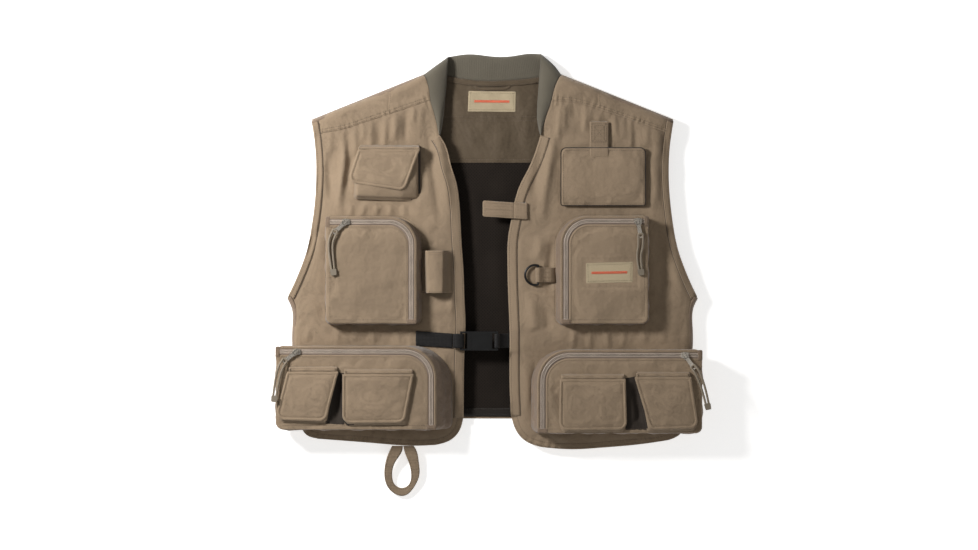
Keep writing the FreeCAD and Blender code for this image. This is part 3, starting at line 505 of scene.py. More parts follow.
def fill(loop, step, lines=()):
    """Even triangles inside a closed loop, with points along the given lines too."""
    loop = np.asarray(loop, float)[:, :2]
    if area(loop) < 0:
        loop = loop[::-1]
    low, high = loop.min(0), loop.max(0)
    taken = {}

    def claim(points, cell):
        out = []
        for p in points:
            key = (int(p[0] // cell), int(p[1] // cell))
            close = [q for i in (-1, 0, 1) for j in (-1, 0, 1)
                     for q in taken.get((key[0] + i, key[1] + j), ())]
            if all(math.hypot(p[0] - q[0], p[1] - q[1]) > 0.75 * cell for q in close):
                taken.setdefault(key, []).append(p)
                out.append(p)
        return out

    for p in loop:
        taken.setdefault((int(p[0] // 0.8), int(p[1] // 0.8)), []).append(p)
    extra = []
    for line in lines:
        pts = np.asarray(line, float)[:, :2]
        pts = pts[inside(loop, pts)]
        extra += claim(pts, 0.8)
    fixed = np.vstack([loop] + ([np.array(extra)] if extra else []))
    grid = []
    for row, y in enumerate(np.arange(low[1], high[1], step * 0.866)):
        xs = np.arange(low[0] + (row % 2) * step / 2, high[0], step)
        grid.append(np.c_[xs, np.full(len(xs), y)])
    grid = np.vstack(grid)
    grid = grid[inside(loop, grid)]
    keep = np.ones(len(grid), bool)
    for k in range(0, len(fixed), 256):
        part = fixed[k:k + 256]
        gap = np.hypot(grid[:, None, 0] - part[None, :, 0], grid[:, None, 1] - part[None, :, 1]).min(1)
        keep &= gap > 0.62 * step
    pts = np.vstack([fixed, grid[keep]])
    n = len(loop)
    edges = [(k, (k + 1) % n) for k in range(n)]
    verts, _, faces, origin, _, _ = delaunay_2d_cdt([Vector(p) for p in pts], edges, [], 1, 1e-5, True)
    where = {}
    for k, sources in enumerate(origin):
        for s in sources:
            where[s] = k
    xy = np.array([tuple(v) for v in verts])
    tris = []
    middle = xy[np.array(faces)].mean(1)
    for f, within in zip(faces, inside(loop, middle)):
        if not within:
            continue
        a, b, c = (xy[i] for i in f[:3])
        size = (b[0] - a[0]) * (c[1] - a[1]) - (b[1] - a[1]) * (c[0] - a[0])
        if abs(size) > 0.004:
            tris.append(tuple(f) if size > 0 else tuple(f[::-1]))
    return xy, tris, [where[k] for k in range(n)]


def strips(ring_a, ring_b, closed=True):
    """Quads between two rings of point numbers; ring_a's outside is on the right of its direction."""
    n = len(ring_a)
    return [(ring_b[k], ring_b[(k + 1) % n], ring_a[(k + 1) % n], ring_a[k])
            for k in range(n if closed else n - 1)]


class Ground:
    """Height of a built surface under or over a point."""

    def __init__(self, verts, faces):
        self.tree = BVHTree.FromPolygons([tuple(v) for v in verts], faces)

    def __call__(self, x, y, default=None):
        hit = self.tree.ray_cast(Vector((x, y, 400)), Vector((0, 0, -1)))[0]
        if hit is None:
            hit = self.tree.find_nearest(Vector((x, y, 30)))[0] if default is None else None
        return hit.z if hit is not None else default

    def over(self, xy):
        return np.array([self(x, y) for x, y in np.asarray(xy)[:, :2]])


class Piece:
    """Mesh of one piece, gathered from parts with their own materials."""

    def __init__(self, name, *materials):
        self.name, self.materials = name, materials
        self.v, self.f, self.m, self.count = [], [], [], 0

    def add(self, verts, faces, slot=0):
        verts = np.asarray(verts, float)
        self.v.append(verts)
        self.f += [tuple(i + self.count for i in f) for f in faces]
        self.m += [slot] * len(faces)
        self.count += len(verts)
        return self

    def build(self, body, slot, *nodes, angle=None):
        mesh = bpy.data.meshes.new(self.name)
        mesh.from_pydata((np.vstack(self.v) * MM).tolist(), [], self.f)
        for material in self.materials:
            mesh.materials.append(material)
        mesh.polygons.foreach_set("material_index", self.m)
        mesh.polygons.foreach_set("use_smooth", [True] * len(self.f))
        mesh.update()
        if angle is not None:
            mesh.set_sharp_from_angle(angle=math.radians(angle))
        thing = bpy.data.objects.new(self.name, mesh)
        scene.collection.objects.link(thing)
        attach(thing, body)
        if nodes:
            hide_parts(*nodes)
        return thing


def sheet(piece, loop, step, height, thick, lines=(), slot=0, roll=0.5):
    """A sheet of cloth with a rolled rim. Returns its top as a Ground."""
    rings = [even(np.vstack([r, r[:1]]), step * 0.8) for r in (inward(loop, 0.9), inward(loop, 2.2))]
    xy, tris, ring = fill(loop, step, list(rings) + list(lines))
    d, _, _ = near(np.asarray(loop), xy[:, 0], xy[:, 1], True)
    z = height(xy[:, 0], xy[:, 1]) - roll * np.exp(-(d / 1.0) ** 2)
    top = np.c_[xy, z]
    bottom = np.c_[xy, z - thick + 2 * roll * np.exp(-(d / 1.0) ** 2)]
    out = -normals(xy[ring], True)
    middle = np.c_[xy[ring] + out * 0.3 * thick, (top[ring, 2] + bottom[ring, 2]) / 2]
    n = len(xy)
    piece.add(
        np.vstack([top, bottom, middle]),
        tris + [tuple(i + n for i in t[::-1]) for t in tris]
        + strips(ring, [2 * n + k for k in range(len(ring))])
        + strips([2 * n + k for k in range(len(ring))], [n + i for i in ring]),
        slot,
    )
    return Ground(top, tris)


def sweep(piece, line, profile, height=None, slot=0, closed=False, caps=True):
    """Strip along a line: the profile's points are (distance to the left, height)."""
    line = np.asarray(line, float)
    side = normals(line, closed)
    base = line[:, 2] if line.shape[1] > 2 else None
    tube = tuple(profile[0]) == tuple(profile[-1])
    rows = []
    for u, w in profile[:-1] if tube else profile:
        xy = line[:, :2] + side * u
        if height is not None:
            z = np.array([height(a, b) for a, b in xy]) + w
        else:
            z = (base if base is not None else 0) + np.full(len(line), float(w))
        rows.append(np.c_[xy, z])
    n, m = len(line), len(rows)
    verts = np.vstack(rows)
    faces = []
    for j in range(m if tube else m - 1):
        i = (j + 1) % m
        for k in range(n if closed else n - 1):
            q = (k + 1) % n
            faces.append((j * n + k, i * n + k, i * n + q, j * n + q))
    if caps and not closed:
        faces.append(tuple(j * n for j in range(m))[::-1])
        faces.append(tuple(j * n + n - 1 for j in range(m)))
    piece.add(verts, faces, slot)
    return verts, faces


def lens(width, high, low=0.0, rows=6, start=0.0, lip=0.35):
    """Closed profile of a flat band, its edges rolled. Runs over the top and back below."""
    top = []
    for k in range(rows + 1):
        t = k / rows
        swell = min(1.0, math.sin(math.pi * t) ** lip if 0 < t < 1 else 0.0)
        top.append((start + width * t, low + (high - low) * (0.35 + 0.65 * swell)))
    below = [(start + width * (1 - k / 2), low) for k in range(3)]
    points = (top + below + top[:1])
    return points[::-1]


def stitches(piece, line, height, slot, pitch=3.2, length=2.3, radius=0.3, lift=0.18):
    """A row of lockstitches on a surface."""
    line = np.asarray(line, float)[:, :2]
    t = np.r_[0, np.cumsum(np.linalg.norm(np.diff(line, axis=0), axis=1))]
    count = int(t[-1] / pitch)
    if count < 1:
        return
    starts = (t[-1] - count * pitch) / 2 + pitch * np.arange(count) + (pitch - length) / 2
    verts, faces = [], []
    for s in starts:
        a = np.array([np.interp(s, t, line[:, k]) for k in (0, 1)])
        b = np.array([np.interp(s + length, t, line[:, k]) for k in (0, 1)])
        along = (b - a) / max(np.linalg.norm(b - a), 1e-6)
        side = np.array((-along[1], along[0]))
        za, zb = height(*a), height(*b)
        zm = max(height(*((a + b) / 2)), (za + zb) / 2)
        first = len(verts)
        verts.append((*a, za - 0.1))
        for f in (0.22, 0.78):
            c = a + (b - a) * f
            z = zm + lift
            verts += [(*(c + side * radius), z), (*c, z + radius), (*(c - side * radius), z),
                      (*c, z - radius)]
        verts.append((*b, zb - 0.1))
        for k in range(4):
            j = (k + 1) % 4
            faces += [(first, first + 1 + j, first + 1 + k),
                      (first + 1 + k, first + 1 + j, first + 5 + j, first + 5 + k),
                      (first + 5 + k, first + 5 + j, first + 9)]
    piece.add(verts, faces, slot)


def bartack(piece, a, b, height, slot):
    """Dense zigzag over a stress point."""
    a, b = np.array(a, float), np.array(b, float)
    n = max(4, int(np.linalg.norm(b - a) / 0.9))
    side = np.array((-(b - a)[1], (b - a)[0])) / np.linalg.norm(b - a)
    for k in range(n):
        c = a + (b - a) * (k + 0.5) / n
        stitches(piece, [c - side * 1.3, c + side * 1.3], height, slot, 2.6, 2.5, 0.34, 0.25)


def folds(x, y, rows):
    """Soft ridges and valleys: each row is (points, half width, height)."""
    z = np.zeros(np.shape(x))
    for points, width, high in rows:
        line = curve(points, 8.0) if len(points) > 2 else np.array(points, float)
        d, s, run = near(line, x, y)
        ends = np.clip(np.minimum(s, run - s) / (0.35 * run), 0, 1)
        z += high * np.exp(-(d / width) ** 2) * (3 * ends ** 2 - 2 * ends ** 3)
    return z


def ripple(x, y, seed, high, low_wave=40, high_wave=130):
    """Small random unevenness of cloth that isn't ironed."""
    rnd = random.Random(seed)
    z = np.zeros(np.shape(x))
    for _ in range(9):
        wave = rnd.uniform(low_wave, high_wave)
        turn = rnd.uniform(0, math.pi)
        phase = rnd.uniform(0, 6.28)
        bend = rnd.uniform(0, 6.28)
        along = x * math.cos(turn) + y * math.sin(turn)
        across = -x * math.sin(turn) + y * math.cos(turn)
        z += np.sin(TURN * along / wave + phase + 0.9 * np.sin(TURN * across / (wave * 2.3)
                                                               + bend)) * wave / high_wave
    return z * high / 3.2


def pucker(x, y, line, high, pitch, reach, seed=0, closed=False):
    """Little ripples that cross a seam where its thread draws the cloth in."""
    d, s, _ = near(line, x, y, closed)
    rnd = random.Random(seed)
    a, b, c = (rnd.uniform(0, 6.28) for _ in range(3))
    waves = np.sin(TURN * s / pitch + a + 1.3 * np.sin(s / pitch * 1.7 + b)) * (0.65 + 0.35
            * np.sin(s / pitch * 0.9 + c))
    return high * waves * np.exp(-(d / reach) ** 2)


def groove(x, y, line, deep=0.55, half=1.1, closed=False):
    d, _, _ = near(line, x, y, closed)
    return -deep * np.exp(-(d / half) ** 2)


def beside(line, *offsets, step=2.6):
    """A line and its copies at the given distances, for surfaces that need points there."""
    line = even(np.asarray(line, float)[:, :2], step)
    side = normals(line, False)
    return [line + side * o for o in offsets]


def simulate(verts, faces, pin, frames=18, pressure=4.0, grow=0.02, cap=6.0, bend=0.4):
    """Cloth simulation of a sewn shell: pinned at its seams, blown up a little, cut slightly full."""
    verts = np.asarray(verts, float)
    mesh = bpy.data.meshes.new("cloth_run")
    mesh.from_pydata((verts * MM).tolist(), [], faces)
    thing = bpy.data.objects.new("cloth_run", mesh)
    scene.collection.objects.link(thing)
    group = thing.vertex_groups.new(name="pin")
    for k, w in enumerate(pin):
        if w > 0.01:
            group.add([k], float(w), "REPLACE")
    modifier = thing.modifiers.new("Cloth", "CLOTH")
    s = modifier.settings
    s.quality = 6
    s.mass = 0.15
    s.tension_stiffness = s.compression_stiffness = 20
    s.shear_stiffness = 10
    s.bending_stiffness = bend
    s.air_damping = 3
    s.vertex_group_mass = "pin"
    s.pin_stiffness = 2
    s.shrink_min = -grow
    s.use_pressure = True
    s.uniform_pressure_force = pressure
    s.effector_weights.gravity = 0
    modifier.collision_settings.use_collision = False
    modifier.collision_settings.use_self_collision = False
    modifier.point_cache.frame_start = 1
    modifier.point_cache.frame_end = frames
    for f in range(1, frames + 1):
        scene.frame_set(f)
    ready = thing.evaluated_get(bpy.context.evaluated_depsgraph_get())
    moved = np.zeros(len(verts) * 3)
    ready.data.vertices.foreach_get("co", moved)
    moved = moved.reshape(-1, 3) / MM
    bpy.data.objects.remove(thing)
    bpy.data.meshes.remove(mesh)
    scene.frame_set(1)
    shift = moved - verts
    size = np.linalg.norm(shift, axis=1)
    if not np.isfinite(size).all():
        return verts
    print(f"cloth run: mean {size.mean():.2f} max {size.max():.2f}")
    shift *= (cap * np.tanh(size / cap) / np.maximum(size, 1e-6))[:, None]
    return verts + shift * (1 - np.clip(np.array(pin), 0, 1))[:, None]

# ---------------------------------------------------------------- the vest's lines, as in the CAD

NECK, NECK_Y, TIP, TIP_Y, ARM, ARM_Y, HEM_Y = 98.0, 250.0, 257.0, 186.0, 292.0, -69.0, -240.0
ARMHOLE_TOP = [(TIP, TIP_Y), (TIP - 3.5, 165)]
ARMHOLE_LOW = [(250, 128), (251, 78), (256, 35), (263, 0), (274, -31), (285, -56), (ARM, ARM_Y)]
SIDE = [(286, -82), (285, -114), (280, -180)]
NECK_SEAM = [(-65, 247), (-32, 241.5), (0, 240), (32, 241.5), (65, 245), (NECK, NECK_Y)]
NECKLINE = {-1: [(-NECK, NECK_Y), (-92, 234), (-89, 213), (-83, 192), (-76, 163)],
            1: [(NECK, NECK_Y), (90, 234), (84.5, 213), (77, 192), (69, 163)]}
YOKE = {-1: [(3.5 - TIP, 165), (-209, 173), (-181, 182), (-145, 194), (-89, 213)],
        1: [(TIP - 3.5, 165), (209, 181), (153, 200), (117, 210), (84.5, 213)]}
EDGE = {-1: [(-76, 163), (-66, 145), (-60, 121), (-53, 99), (-48.5, 74), (-45, 14), (-42, -28),
             (-40.5, -71), (-39, -111), (-40.5, -142), (-41.5, -190), (-42, -239)],
        1: [(69, 163), (60, 135), (52, 116), (42, 97), (33, 72), (27.5, 43), (23.4, 21), (22, -14),
            (23.4, -71), (25, -114), (25, -185), (27, -236)]}
CORNER = {-1: [(-47, -256), (-60, -270), (-82, -277)], 1: [(34, -257), (48, -272), (70, -280)]}
HEM = {-1: [(-110, -278), (-160, -275), (-210, -271), (-248, -268)],
       1: [(110, -283), (153, -281), (209, -276), (250, -270)]}
SIDE_CORNER = {-1: [(-265, -262), (-274, -245)], 1: [(266, -262), (275, -245)]}


def flip(points, sign):
    return [(sign * x, y) for x, y in points]


# (line, half width, height) of the soft folds that the fronts lie in
FOLDS = {
    -1: [
        ([(-207, 168), (-212, 128), (-216, 85), (-222, 48)], 5, 3.6),
        ([(-198, 142), (-205, 105), (-209, 74)], 4, -2.6),
        ([(-83, 196), (-74, 142), (-65, 85), (-58, 34)], 6, 3.0),
        ([(-94, 182), (-87, 128), (-79, 71), (-73, 20)], 5, -2.8),
        ([(-102, 34), (-97, -17), (-97, -77)], 6, -2.6),
        ([(-66, 0), (-59, -51), (-58, -106)], 5, 2.6),
        ([(-242, 142), (-231, 105), (-229, 62)], 5, -2.2),
        ([(-256, 51), (-248, 20), (-242, -17)], 7, 2.2),
        ([(-231, 156), (-239, 114), (-241, 64)], 5, 2.2),
        ([(-269, -17), (-256, 14), (-242, 37)], 5, -2.0),
        ([(-200, 67), (-202, 47)], 3.5, 1.8),
        ([(-182, 67), (-185, 47)], 3.5, 1.6),
        ([(-164, 65), (-165, 48)], 3.5, 1.8),
        ([(-146, 65), (-144, 47)], 3.5, 1.6),
        ([(-127, 65), (-124, 44)], 4, 1.6),
        ([(-219, -106), (-221, -136)], 5, 1.6),
        ([(-194, -108), (-197, -135)], 4, 1.2),
        ([(-171, -111), (-168, -135)], 5, 1.5),
        ([(-137, -111), (-131, -136)], 5, 1.4),
        ([(-114, -106), (-103, -145), (-86, -192)], 7, 2.2),
        ([(-70, -135), (-69, -185), (-66, -234)], 5, 2.0),
        ([(-259, -106), (-265, -135)], 6, 1.6),
        ([(-279, -57), (-248, -71), (-242, -114)], 7, -1.6),
        ([(-167, -256), (-171, -276)], 4, 1.4),
        ([(-148, -254), (-148, -276)], 4, 1.6),
        ([(-128, -256), (-126, -276)], 4, 1.4),
        ([(-106, -248), (-97, -270)], 5, 1.4),
        ([(-202, -248), (-208, -270)], 5, 1.2),
    ],
    1: [
        ([(90, 178), (82, 128), (73, 71), (69, 26)], 7, 3.8),
        ([(74, 156), (63, 111), (53, 64)], 5, -2.4),
        ([(69, 20), (63, -17)], 6, 2.4),
        ([(90, 26), (82, -17), (82, -65)], 6, -3.4),
        ([(50, -57), (59, -99), (53, -139)], 8, 2.6),
        ([(74, -71), (79, -114), (68, -145)], 6, -2.0),
        ([(231, 50), (239, -11), (241, -78)], 9, -2.2),
        ([(255, 14), (263, -36), (272, -78)], 8, 2.0),
        ([(226, 142), (232, 92), (226, 50)], 6, 2.2),
        ([(110, 64), (107, 47)], 4, 1.5),
        ([(130, 64), (128, 47)], 4, 1.3),
        ([(153, 62), (153, 47)], 4, 1.5),
        ([(178, 62), (180, 47)], 4, 1.3),
        ([(117, -106), (114, -142)], 4, 1.6),
        ([(138, -108), (138, -145)], 4, 1.3),
        ([(161, -109), (164, -142)], 4, 1.6),
        ([(187, -108), (184, -139)], 4, 1.2),
        ([(212, -105), (216, -136)], 5, 1.5),
        ([(238, -102), (244, -135)], 5, 1.2),
        ([(46, -156), (49, -199), (45, -241)], 6, 2.0),
        ([(58, -145), (62, -185), (55, -227)], 5, -2.2),
        ([(74, -248), (90, -264), (113, -271)], 5, 1.4),
        ([(96, -253), (99, -273)], 4, 1.2),
        ([(138, -261), (141, -276)], 4, 1.0),
        ([(209, -261), (212, -276)], 4, 1.0),
    ],
}

ROLL = 10.5  # how far the front rolls down at the side and the shoulder, where it meets the back


def rolled(d, reach=11.0):
    return 1 - np.sqrt(np.clip(1 - (1 - np.clip(d / reach, 0, 1)) ** 2, 0, 1))


FRONT = {}


def front_lines(sign):
    if sign in FRONT:
        return FRONT[sign]
    side = curve(flip([(ARM, ARM_Y)] + SIDE, sign) + SIDE_CORNER[sign][::-1], 8)
    armhole = curve(flip(ARMHOLE_TOP + ARMHOLE_LOW, sign), 8)
    shoulder = np.array([(sign * NECK, NECK_Y), (sign * TIP, TIP_Y)], float)
    edge = curve(EDGE[sign], 6)
    hem = curve([EDGE[sign][-1]] + CORNER[sign] + HEM[sign] + SIDE_CORNER[sign][:1], 6)
    yoke = curve(YOKE[sign], 6)
    neck = curve(NECKLINE[sign], 5)
    rnd = random.Random(5 + sign)
    gathers = []
    for k in range(15):
        t = (k + 0.5 + rnd.uniform(-0.3, 0.3)) / 15
        spot = yoke[int(t * (len(yoke) - 1))]
        run = rnd.uniform(26, 62)
        lean = rnd.uniform(-0.08, 0.08)
        gathers.append(([tuple(spot + (0, 2)), tuple(spot + (lean * run, -run))], rnd.uniform(3.0, 4.8),
                        rnd.uniform(1.1, 2.4) * (1 if k % 4 else -0.8)))
    FRONT[sign] = dict(side=side, armhole=armhole, shoulder=shoulder, edge=edge, hem=hem, yoke=yoke,
                       neck=neck, gathers=gathers)
    return FRONT[sign]


PRESSED = {-1: [(-110, -40, -141, -113, 20.6, False), (-102, -56, -62, 0, 21.8, False)],
           1: [(97, 217, 54, 141, 20.9, False), (138, 165, 150, 182, 21.9, False),
               (30, 52, 42, 69, 21.6, False),
               (40, 92, -54, -17, 21.0, False), (22, 82, -142, -116, 21.7, True)]}


def front_height(sign, yoke=False):
    g = front_lines(sign)

    def height(x, y):
        z = 21.4 + ripple(x, y, 11 + sign, 1.1)
        if not yoke:
            z = z + 1.4 * folds(x, y, FOLDS[sign]) + 1.6 * folds(x, y, g["gathers"])
        z = z + pucker(x, y, g["yoke"], 0.8, 8.5, 9, 3)
        z = z + pucker(x, y, g["hem"], 0.8, 12, 11, 4) + pucker(x, y, g["edge"], 0.5, 17, 10, 5)
        z = z - ROLL * rolled(near(g["side"], x, y)[0]) * np.clip((y - HEM_Y + 16) / 24, 0, 1)
        z = z - ROLL * rolled(near(g["shoulder"], x, y)[0])
        z = z - 5.0 * np.exp(-(near(g["hem"], x, y)[0] / 16) ** 1.6)
        z = z - 2.5 * np.exp(-(near(g["edge"], x, y)[0] / 12) ** 2)
        z = z - 3.5 * np.exp(-(near(g["armhole"], x, y)[0] / 14) ** 1.6)
        for x0, x1, y0, y1, level, exact in PRESSED[sign]:
            # something is sewn down here, and holds the cloth flat
            d = np.minimum(np.minimum(x - x0, x1 - x), np.minimum(y - y0, y1 - y))
            w = np.clip(d / 7 + 1, 0, 1)
            z = z + ((level if exact else np.minimum(z, level)) - z) * w * w * (3 - 2 * w)
        return z

    return height


def cut_line(line, *offsets, step=2.6):
    return beside(line, *offsets, step=step)


def one(height):
    """Height function of arrays, for one point."""
    return lambda x, y: float(height(np.array([x]), np.array([y]))[0])


# ---------------------------------------------------------------- back, lining, inner yoke

side_left = SIDE + [(275, HEM_Y)]
back_loop = outline(
    ("curve", NECK_SEAM),
    ("line", [(TIP, TIP_Y)]),
    ("curve", ARMHOLE_TOP[1:] + ARMHOLE_LOW),
    ("curve", side_left),
    ("line", [(-275, HEM_Y)]),
    ("curve", flip(side_left[-2::-1], -1) + [(-ARM, ARM_Y)]),
    ("curve", flip((ARMHOLE_TOP[1:] + ARMHOLE_LOW)[-2::-1], -1) + [(-TIP, TIP_Y)]),
    ("line", [(-NECK, NECK_Y)]),
    step=4.0,
)
BACK_EDGES = []
for s in (-1, 1):
    g = front_lines(s)
    BACK_EDGES += [curve(flip([(ARM, ARM_Y)] + side_left, s), 8), g["shoulder"]]
fold_lines = [np.array([(-98, 250), (-74.6, 267), (-63, 275.5)], float),
              np.array([(98, 250), (88.8, 262), (68.9, 279.5)], float)]
hem_back = np.array([(-275, HEM_Y), (275, HEM_Y)], float)


def back_height(x, y):
    z = 1.5 + np.abs(ripple(x, y, 21, 0.5))
    for line in BACK_EDGES:
        z = z + 9.3 * rolled(near(line, x, y)[0], 10)
    z = z + 0.5 * np.exp(-((y - HEM_Y - 9) / 1.6) ** 2) * -1
    return z


piece = Piece("back_cloth", poplin, thread)
rings = [inward(back_loop, o) for o in (3.5, 6.0, 8.5)]
back_ground = sheet(piece, back_loop, 7.0, back_height, 1.4,
                    rings + beside(hem_back, 7.5, 9, 10.5, step=4))
stitches(piece, hem_back[::-1] - (0, -9.0), back_ground, 1, 3.4)
stitches(piece, hem_back[::-1] - (0, -2.2), back_ground, 1, 3.4)
back = piece.build("vest", "poplin", "back_panel")

yoke_seam = np.array([(-246, 183), (-92, 187.5), (92, 187.5), (246, 183)], float)


def inside_height(x, y):
    z = 3.0 + np.abs(ripple(x, y, 31, 1.4, 60, 150))
    for line in BACK_EDGES:
        z = z + 8.0 * rolled(near(line, x, y)[0] - 3, 10)
    z = z + folds(x, y, [
        ([(-58, 236), (-44, 190), (-18, 140)], 8, 1.6), ([(60, 236), (52, 190), (46, 140)], 9, 2.6),
        ([(36, 236), (40, 200), (34, 165)], 6, 1.8), ([(18, 190), (10, 150), (-6, 100)], 9, 1.4),
        ([(-30, 120), (-22, 40), (-28, -60)], 12, 1.6), ([(14, 120), (6, 30), (8, -90)], 12, 1.8),
        ([(-20, -60), (-6, -150), (-12, -225)], 10, 1.4),
    ])
    return z


lining_loop = outline(
    ("line", [(240, 125)]),
    ("curve", [(241, 78), (246, 35), (253, 0), (264, -31), (276, -60)]),
    ("line", [(270, -237.5), (-270, -237.5), (-276, -60)]),
    ("curve", [(-264, -31), (-253, 0), (-246, 35), (-241, 78), (-240, 125)]),
    step=5.0,
)
piece = Piece("mesh_lining_cloth", mesh_net, painted_edge_shade, painted_edge_shade)
ground = sheet(piece, lining_loop, 7.0, lambda x, y: inside_height(x, y) - 0.4, 0.8)
# the lining's hem band and its stitches are near-black: painted shade
sweep(piece, spaced([(268, -236.5), (-268, -236.5)], 6), lens(11, 1.9, 0.3, start=-11), ground, 2)
for offset in (2, 9):
    stitches(piece, [(-262, -236 + offset), (262, -236 + offset)],
             lambda x, y: ground(x, y) + 1.8, 1, 3.4)
lining = piece.build("vest", "mesh", "mesh_lining")

yoke_loop = outline(
    ("curve", [(-60, 241), (-30, 236), (0, 234.5), (30, 236), (60, 240), (92, 245)]),
    ("line", [(246, 183), (240, 125), (-240, 125), (-246, 183), (-92, 245)]),
    step=4.0,
)
low_edge = np.array([(-240, 125), (240, 125)], float)
# the inner yoke's darkened tan is painted shade
piece = Piece("inner_yoke_cloth", lining_tan, thread)
inner_ground = sheet(piece, yoke_loop, 5.0,
                     lambda x, y: inside_height(x, y) + 0.5 + groove(x, y, yoke_seam, 0.9, 1.6)
                     + pucker(x, y, yoke_seam, 0.5, 11, 9, 8) + groove(x, y, low_edge + (0, 4), 0.5, 1.2),
                     0.8, beside(yoke_seam, -3, 0, 3, step=3) + beside(low_edge, 2.8, 4, 5.2, step=4))
stitches(piece, yoke_seam - (0, 3.2), inner_ground, 1)
stitches(piece, yoke_seam + (0, 2.6), inner_ground, 1)
stitches(piece, low_edge + (0, 4), inner_ground, 1)
inner = piece.build("vest", "poplin", "inner_yoke")


def woven_label(name, corners, ground, lift, node, mark, turn_thread):
    """A woven label: beige cloth, turned edges, a stitched border and a plain coloured stripe."""
    piece = Piece(name, label_cloth, turn_thread, label_mark)
    loop = rounded(corners, 1.2, side=16, arc=3)
    surface = sheet(piece, loop, 2.2,
                    lambda x, y: np.array([ground(a, b) for a, b in zip(x, y)]) + lift
                    - 0.25 * np.exp(-((near(loop, x, y, True)[0] - 2.6) / 0.8) ** 2), 0.8,
                    [inward(loop, 1.7), inward(loop, 2.6), inward(loop, 3.5)])
    ring = inward(loop, 2.6)
    stitches(piece, np.vstack([ring, ring[:1]]), surface, 1, 2.3, 1.6, 0.22, 0.12)
    (x0, y0), (x1, y1), half = mark
    count = int((x1 - x0) / 0.55)
    for k in range(count):
        t = (k + 0.5) / count
        x, y = x0 + (x1 - x0) * t, y0 + (y1 - y0) * t
        cut = half * 0.8
        stitches(piece, [(x, y - cut), (x + 0.2, y + cut)], surface, 2, 2 * cut, 2 * cut - 0.1, 0.3, 0.14)
    return piece.build("vest", "label_cloth", node)


woven_label("neck_label_cloth", [(-35, 198), (32.5, 197.5), (33, 226), (-34, 227)], inner_ground, 0.9,
            "neck_label", ((-26, 212.4), (24, 212.0), 2.9), thread)

piece = Piece("hanger_tape", lining_tan, thread)
tape = curve([(-28.5, 239), (-22, 232), (-8, 229.8), (8, 229.8), (22, 232), (28.5, 239)], 1.6)
sweep(piece, tape, [(2.1, 4.2), (2.0, 4.9), (0.8, 5.4), (-0.8, 5.4), (-2.0, 4.9), (-2.1, 4.2), (0, 3.7),
                    (2.1, 4.2)])
piece.build("hanger_loop", "tan_webbing", "hanger_loop")

# ---------------------------------------------------------------- rib collar


def grid_faces(rows, n, flip=False):
    """Quads over rows of n points."""
    faces = []
    for j in range(rows - 1):
        for k in range(n - 1):
            a = j * n + k
            b, c, d = a + 1, a + n + 1, a + n
            faces.append((a, d, c, b) if flip else (a, b, c, d))
    return faces


def grid_rim(rows, n):
    """Point numbers round the outside of a grid."""
    return list(range(n)) + [j * n + n - 1 for j in range(1, rows)] \
        + [(rows - 1) * n + k for k in range(n - 2, -1, -1)] + [j * n for j in range(rows - 2, 0, -1)]


def walls(rim, m, back=False, shift=0):
    """Quads between a rim and its copy m points later. shift sets the corner that each begins at."""
    quads = [(a, b, b + m, a + m) for a, b in zip(rim, rim[1:] + rim[:1])]
    quads = [q[::-1] for q in quads] if back else quads
    return [q[shift:] + q[:shift] for q in quads]


def moved_on(faces, m):
    """The same faces, m points later."""
    return [tuple(i + m for i in f) for f in faces]


def turned(faces):
    """The same faces, looking the other way."""
    return [f[::-1] for f in faces]


def bead(radius, out, up):
    """Closed profile of a thin round cord."""
    return [(radius * math.cos(a * SIXTH) + out, up + radius * math.sin(a * SIXTH))
            for a in (0, 1, 2, 3, 4, 5, 0)]


def ruled(piece, first, second, count, height, thick, slot=0, flip_faces=False):
    """Padded band between two lines with the same number of points."""
    first, second = np.asarray(first, float), np.asarray(second, float)
    n = len(first)
    t = np.linspace(0, 1, count)
    rows = []
    for v in t:
        xy = first + (second - first) * v
        rows.append(np.c_[xy, height(xy[:, 0], xy[:, 1], np.linspace(0, 1, n), np.full(n, v))])
    top = np.vstack(rows)
    under = top.copy()
    edge = np.minimum(np.repeat(t, n), 1 - np.repeat(t, n))
    under[:, 2] -= thick * np.clip(0.35 + edge * 6, 0, 1)
    faces = grid_faces(count, n, flip_faces)
    m = len(top)
    back = moved_on(turned(faces), m)
    side = walls(grid_rim(count, n), m, not flip_faces)
    piece.add(np.vstack([top, under]), faces + back + side, slot)
    return Ground(top, faces if not flip_faces else [f[::-1] for f in faces])


piece = Piece("rib_collar", rib_knit, thread, lining_tan)
seam = even(curve([(-NECK, NECK_Y)] + NECK_SEAM, 2), 1.1)
top_line = np.vstack([curve([(-NECK, NECK_Y), (-74.6, 267), (-63, 275.5)], 2),
                      curve([(-63, 275.5), (-32, 279.7), (0, 276.5), (32, 277.5), (53, 280.5),
                             (68.9, 279.5)], 2)[1:],
                      curve([(68.9, 279.5), (88.8, 262), (NECK, NECK_Y)], 2)[1:]])
t0 = np.linspace(0, 1, len(seam))
run = np.r_[0, np.cumsum(np.linalg.norm(np.diff(top_line, axis=0), axis=1))]
top_even = np.c_[np.interp(t0 * run[-1], run, top_line[:, 0]), np.interp(t0 * run[-1], run, top_line[:, 1])]
# the rows run straight across the band; blend_in leaves them as they are
blend_in = np.clip(np.minimum(t0, 1 - t0) / 0.16, 0, 1)
top_even[:, 0] = np.where(blend_in < 1, top_even[:, 0], top_even[:, 0])


def band_height(x, y, s, t):
    rib = 0.38 * np.sin(TURN * s * 64)
    z = 2.6 + 2.4 * np.sin(math.pi * np.clip(t, 0, 1)) ** 0.6 + rib * np.clip(np.sin(math.pi * t) * 3, 0, 1)
    for line in fold_lines:
        z = z + 8.0 * rolled(near(line, x, y)[0], 11)
    return z


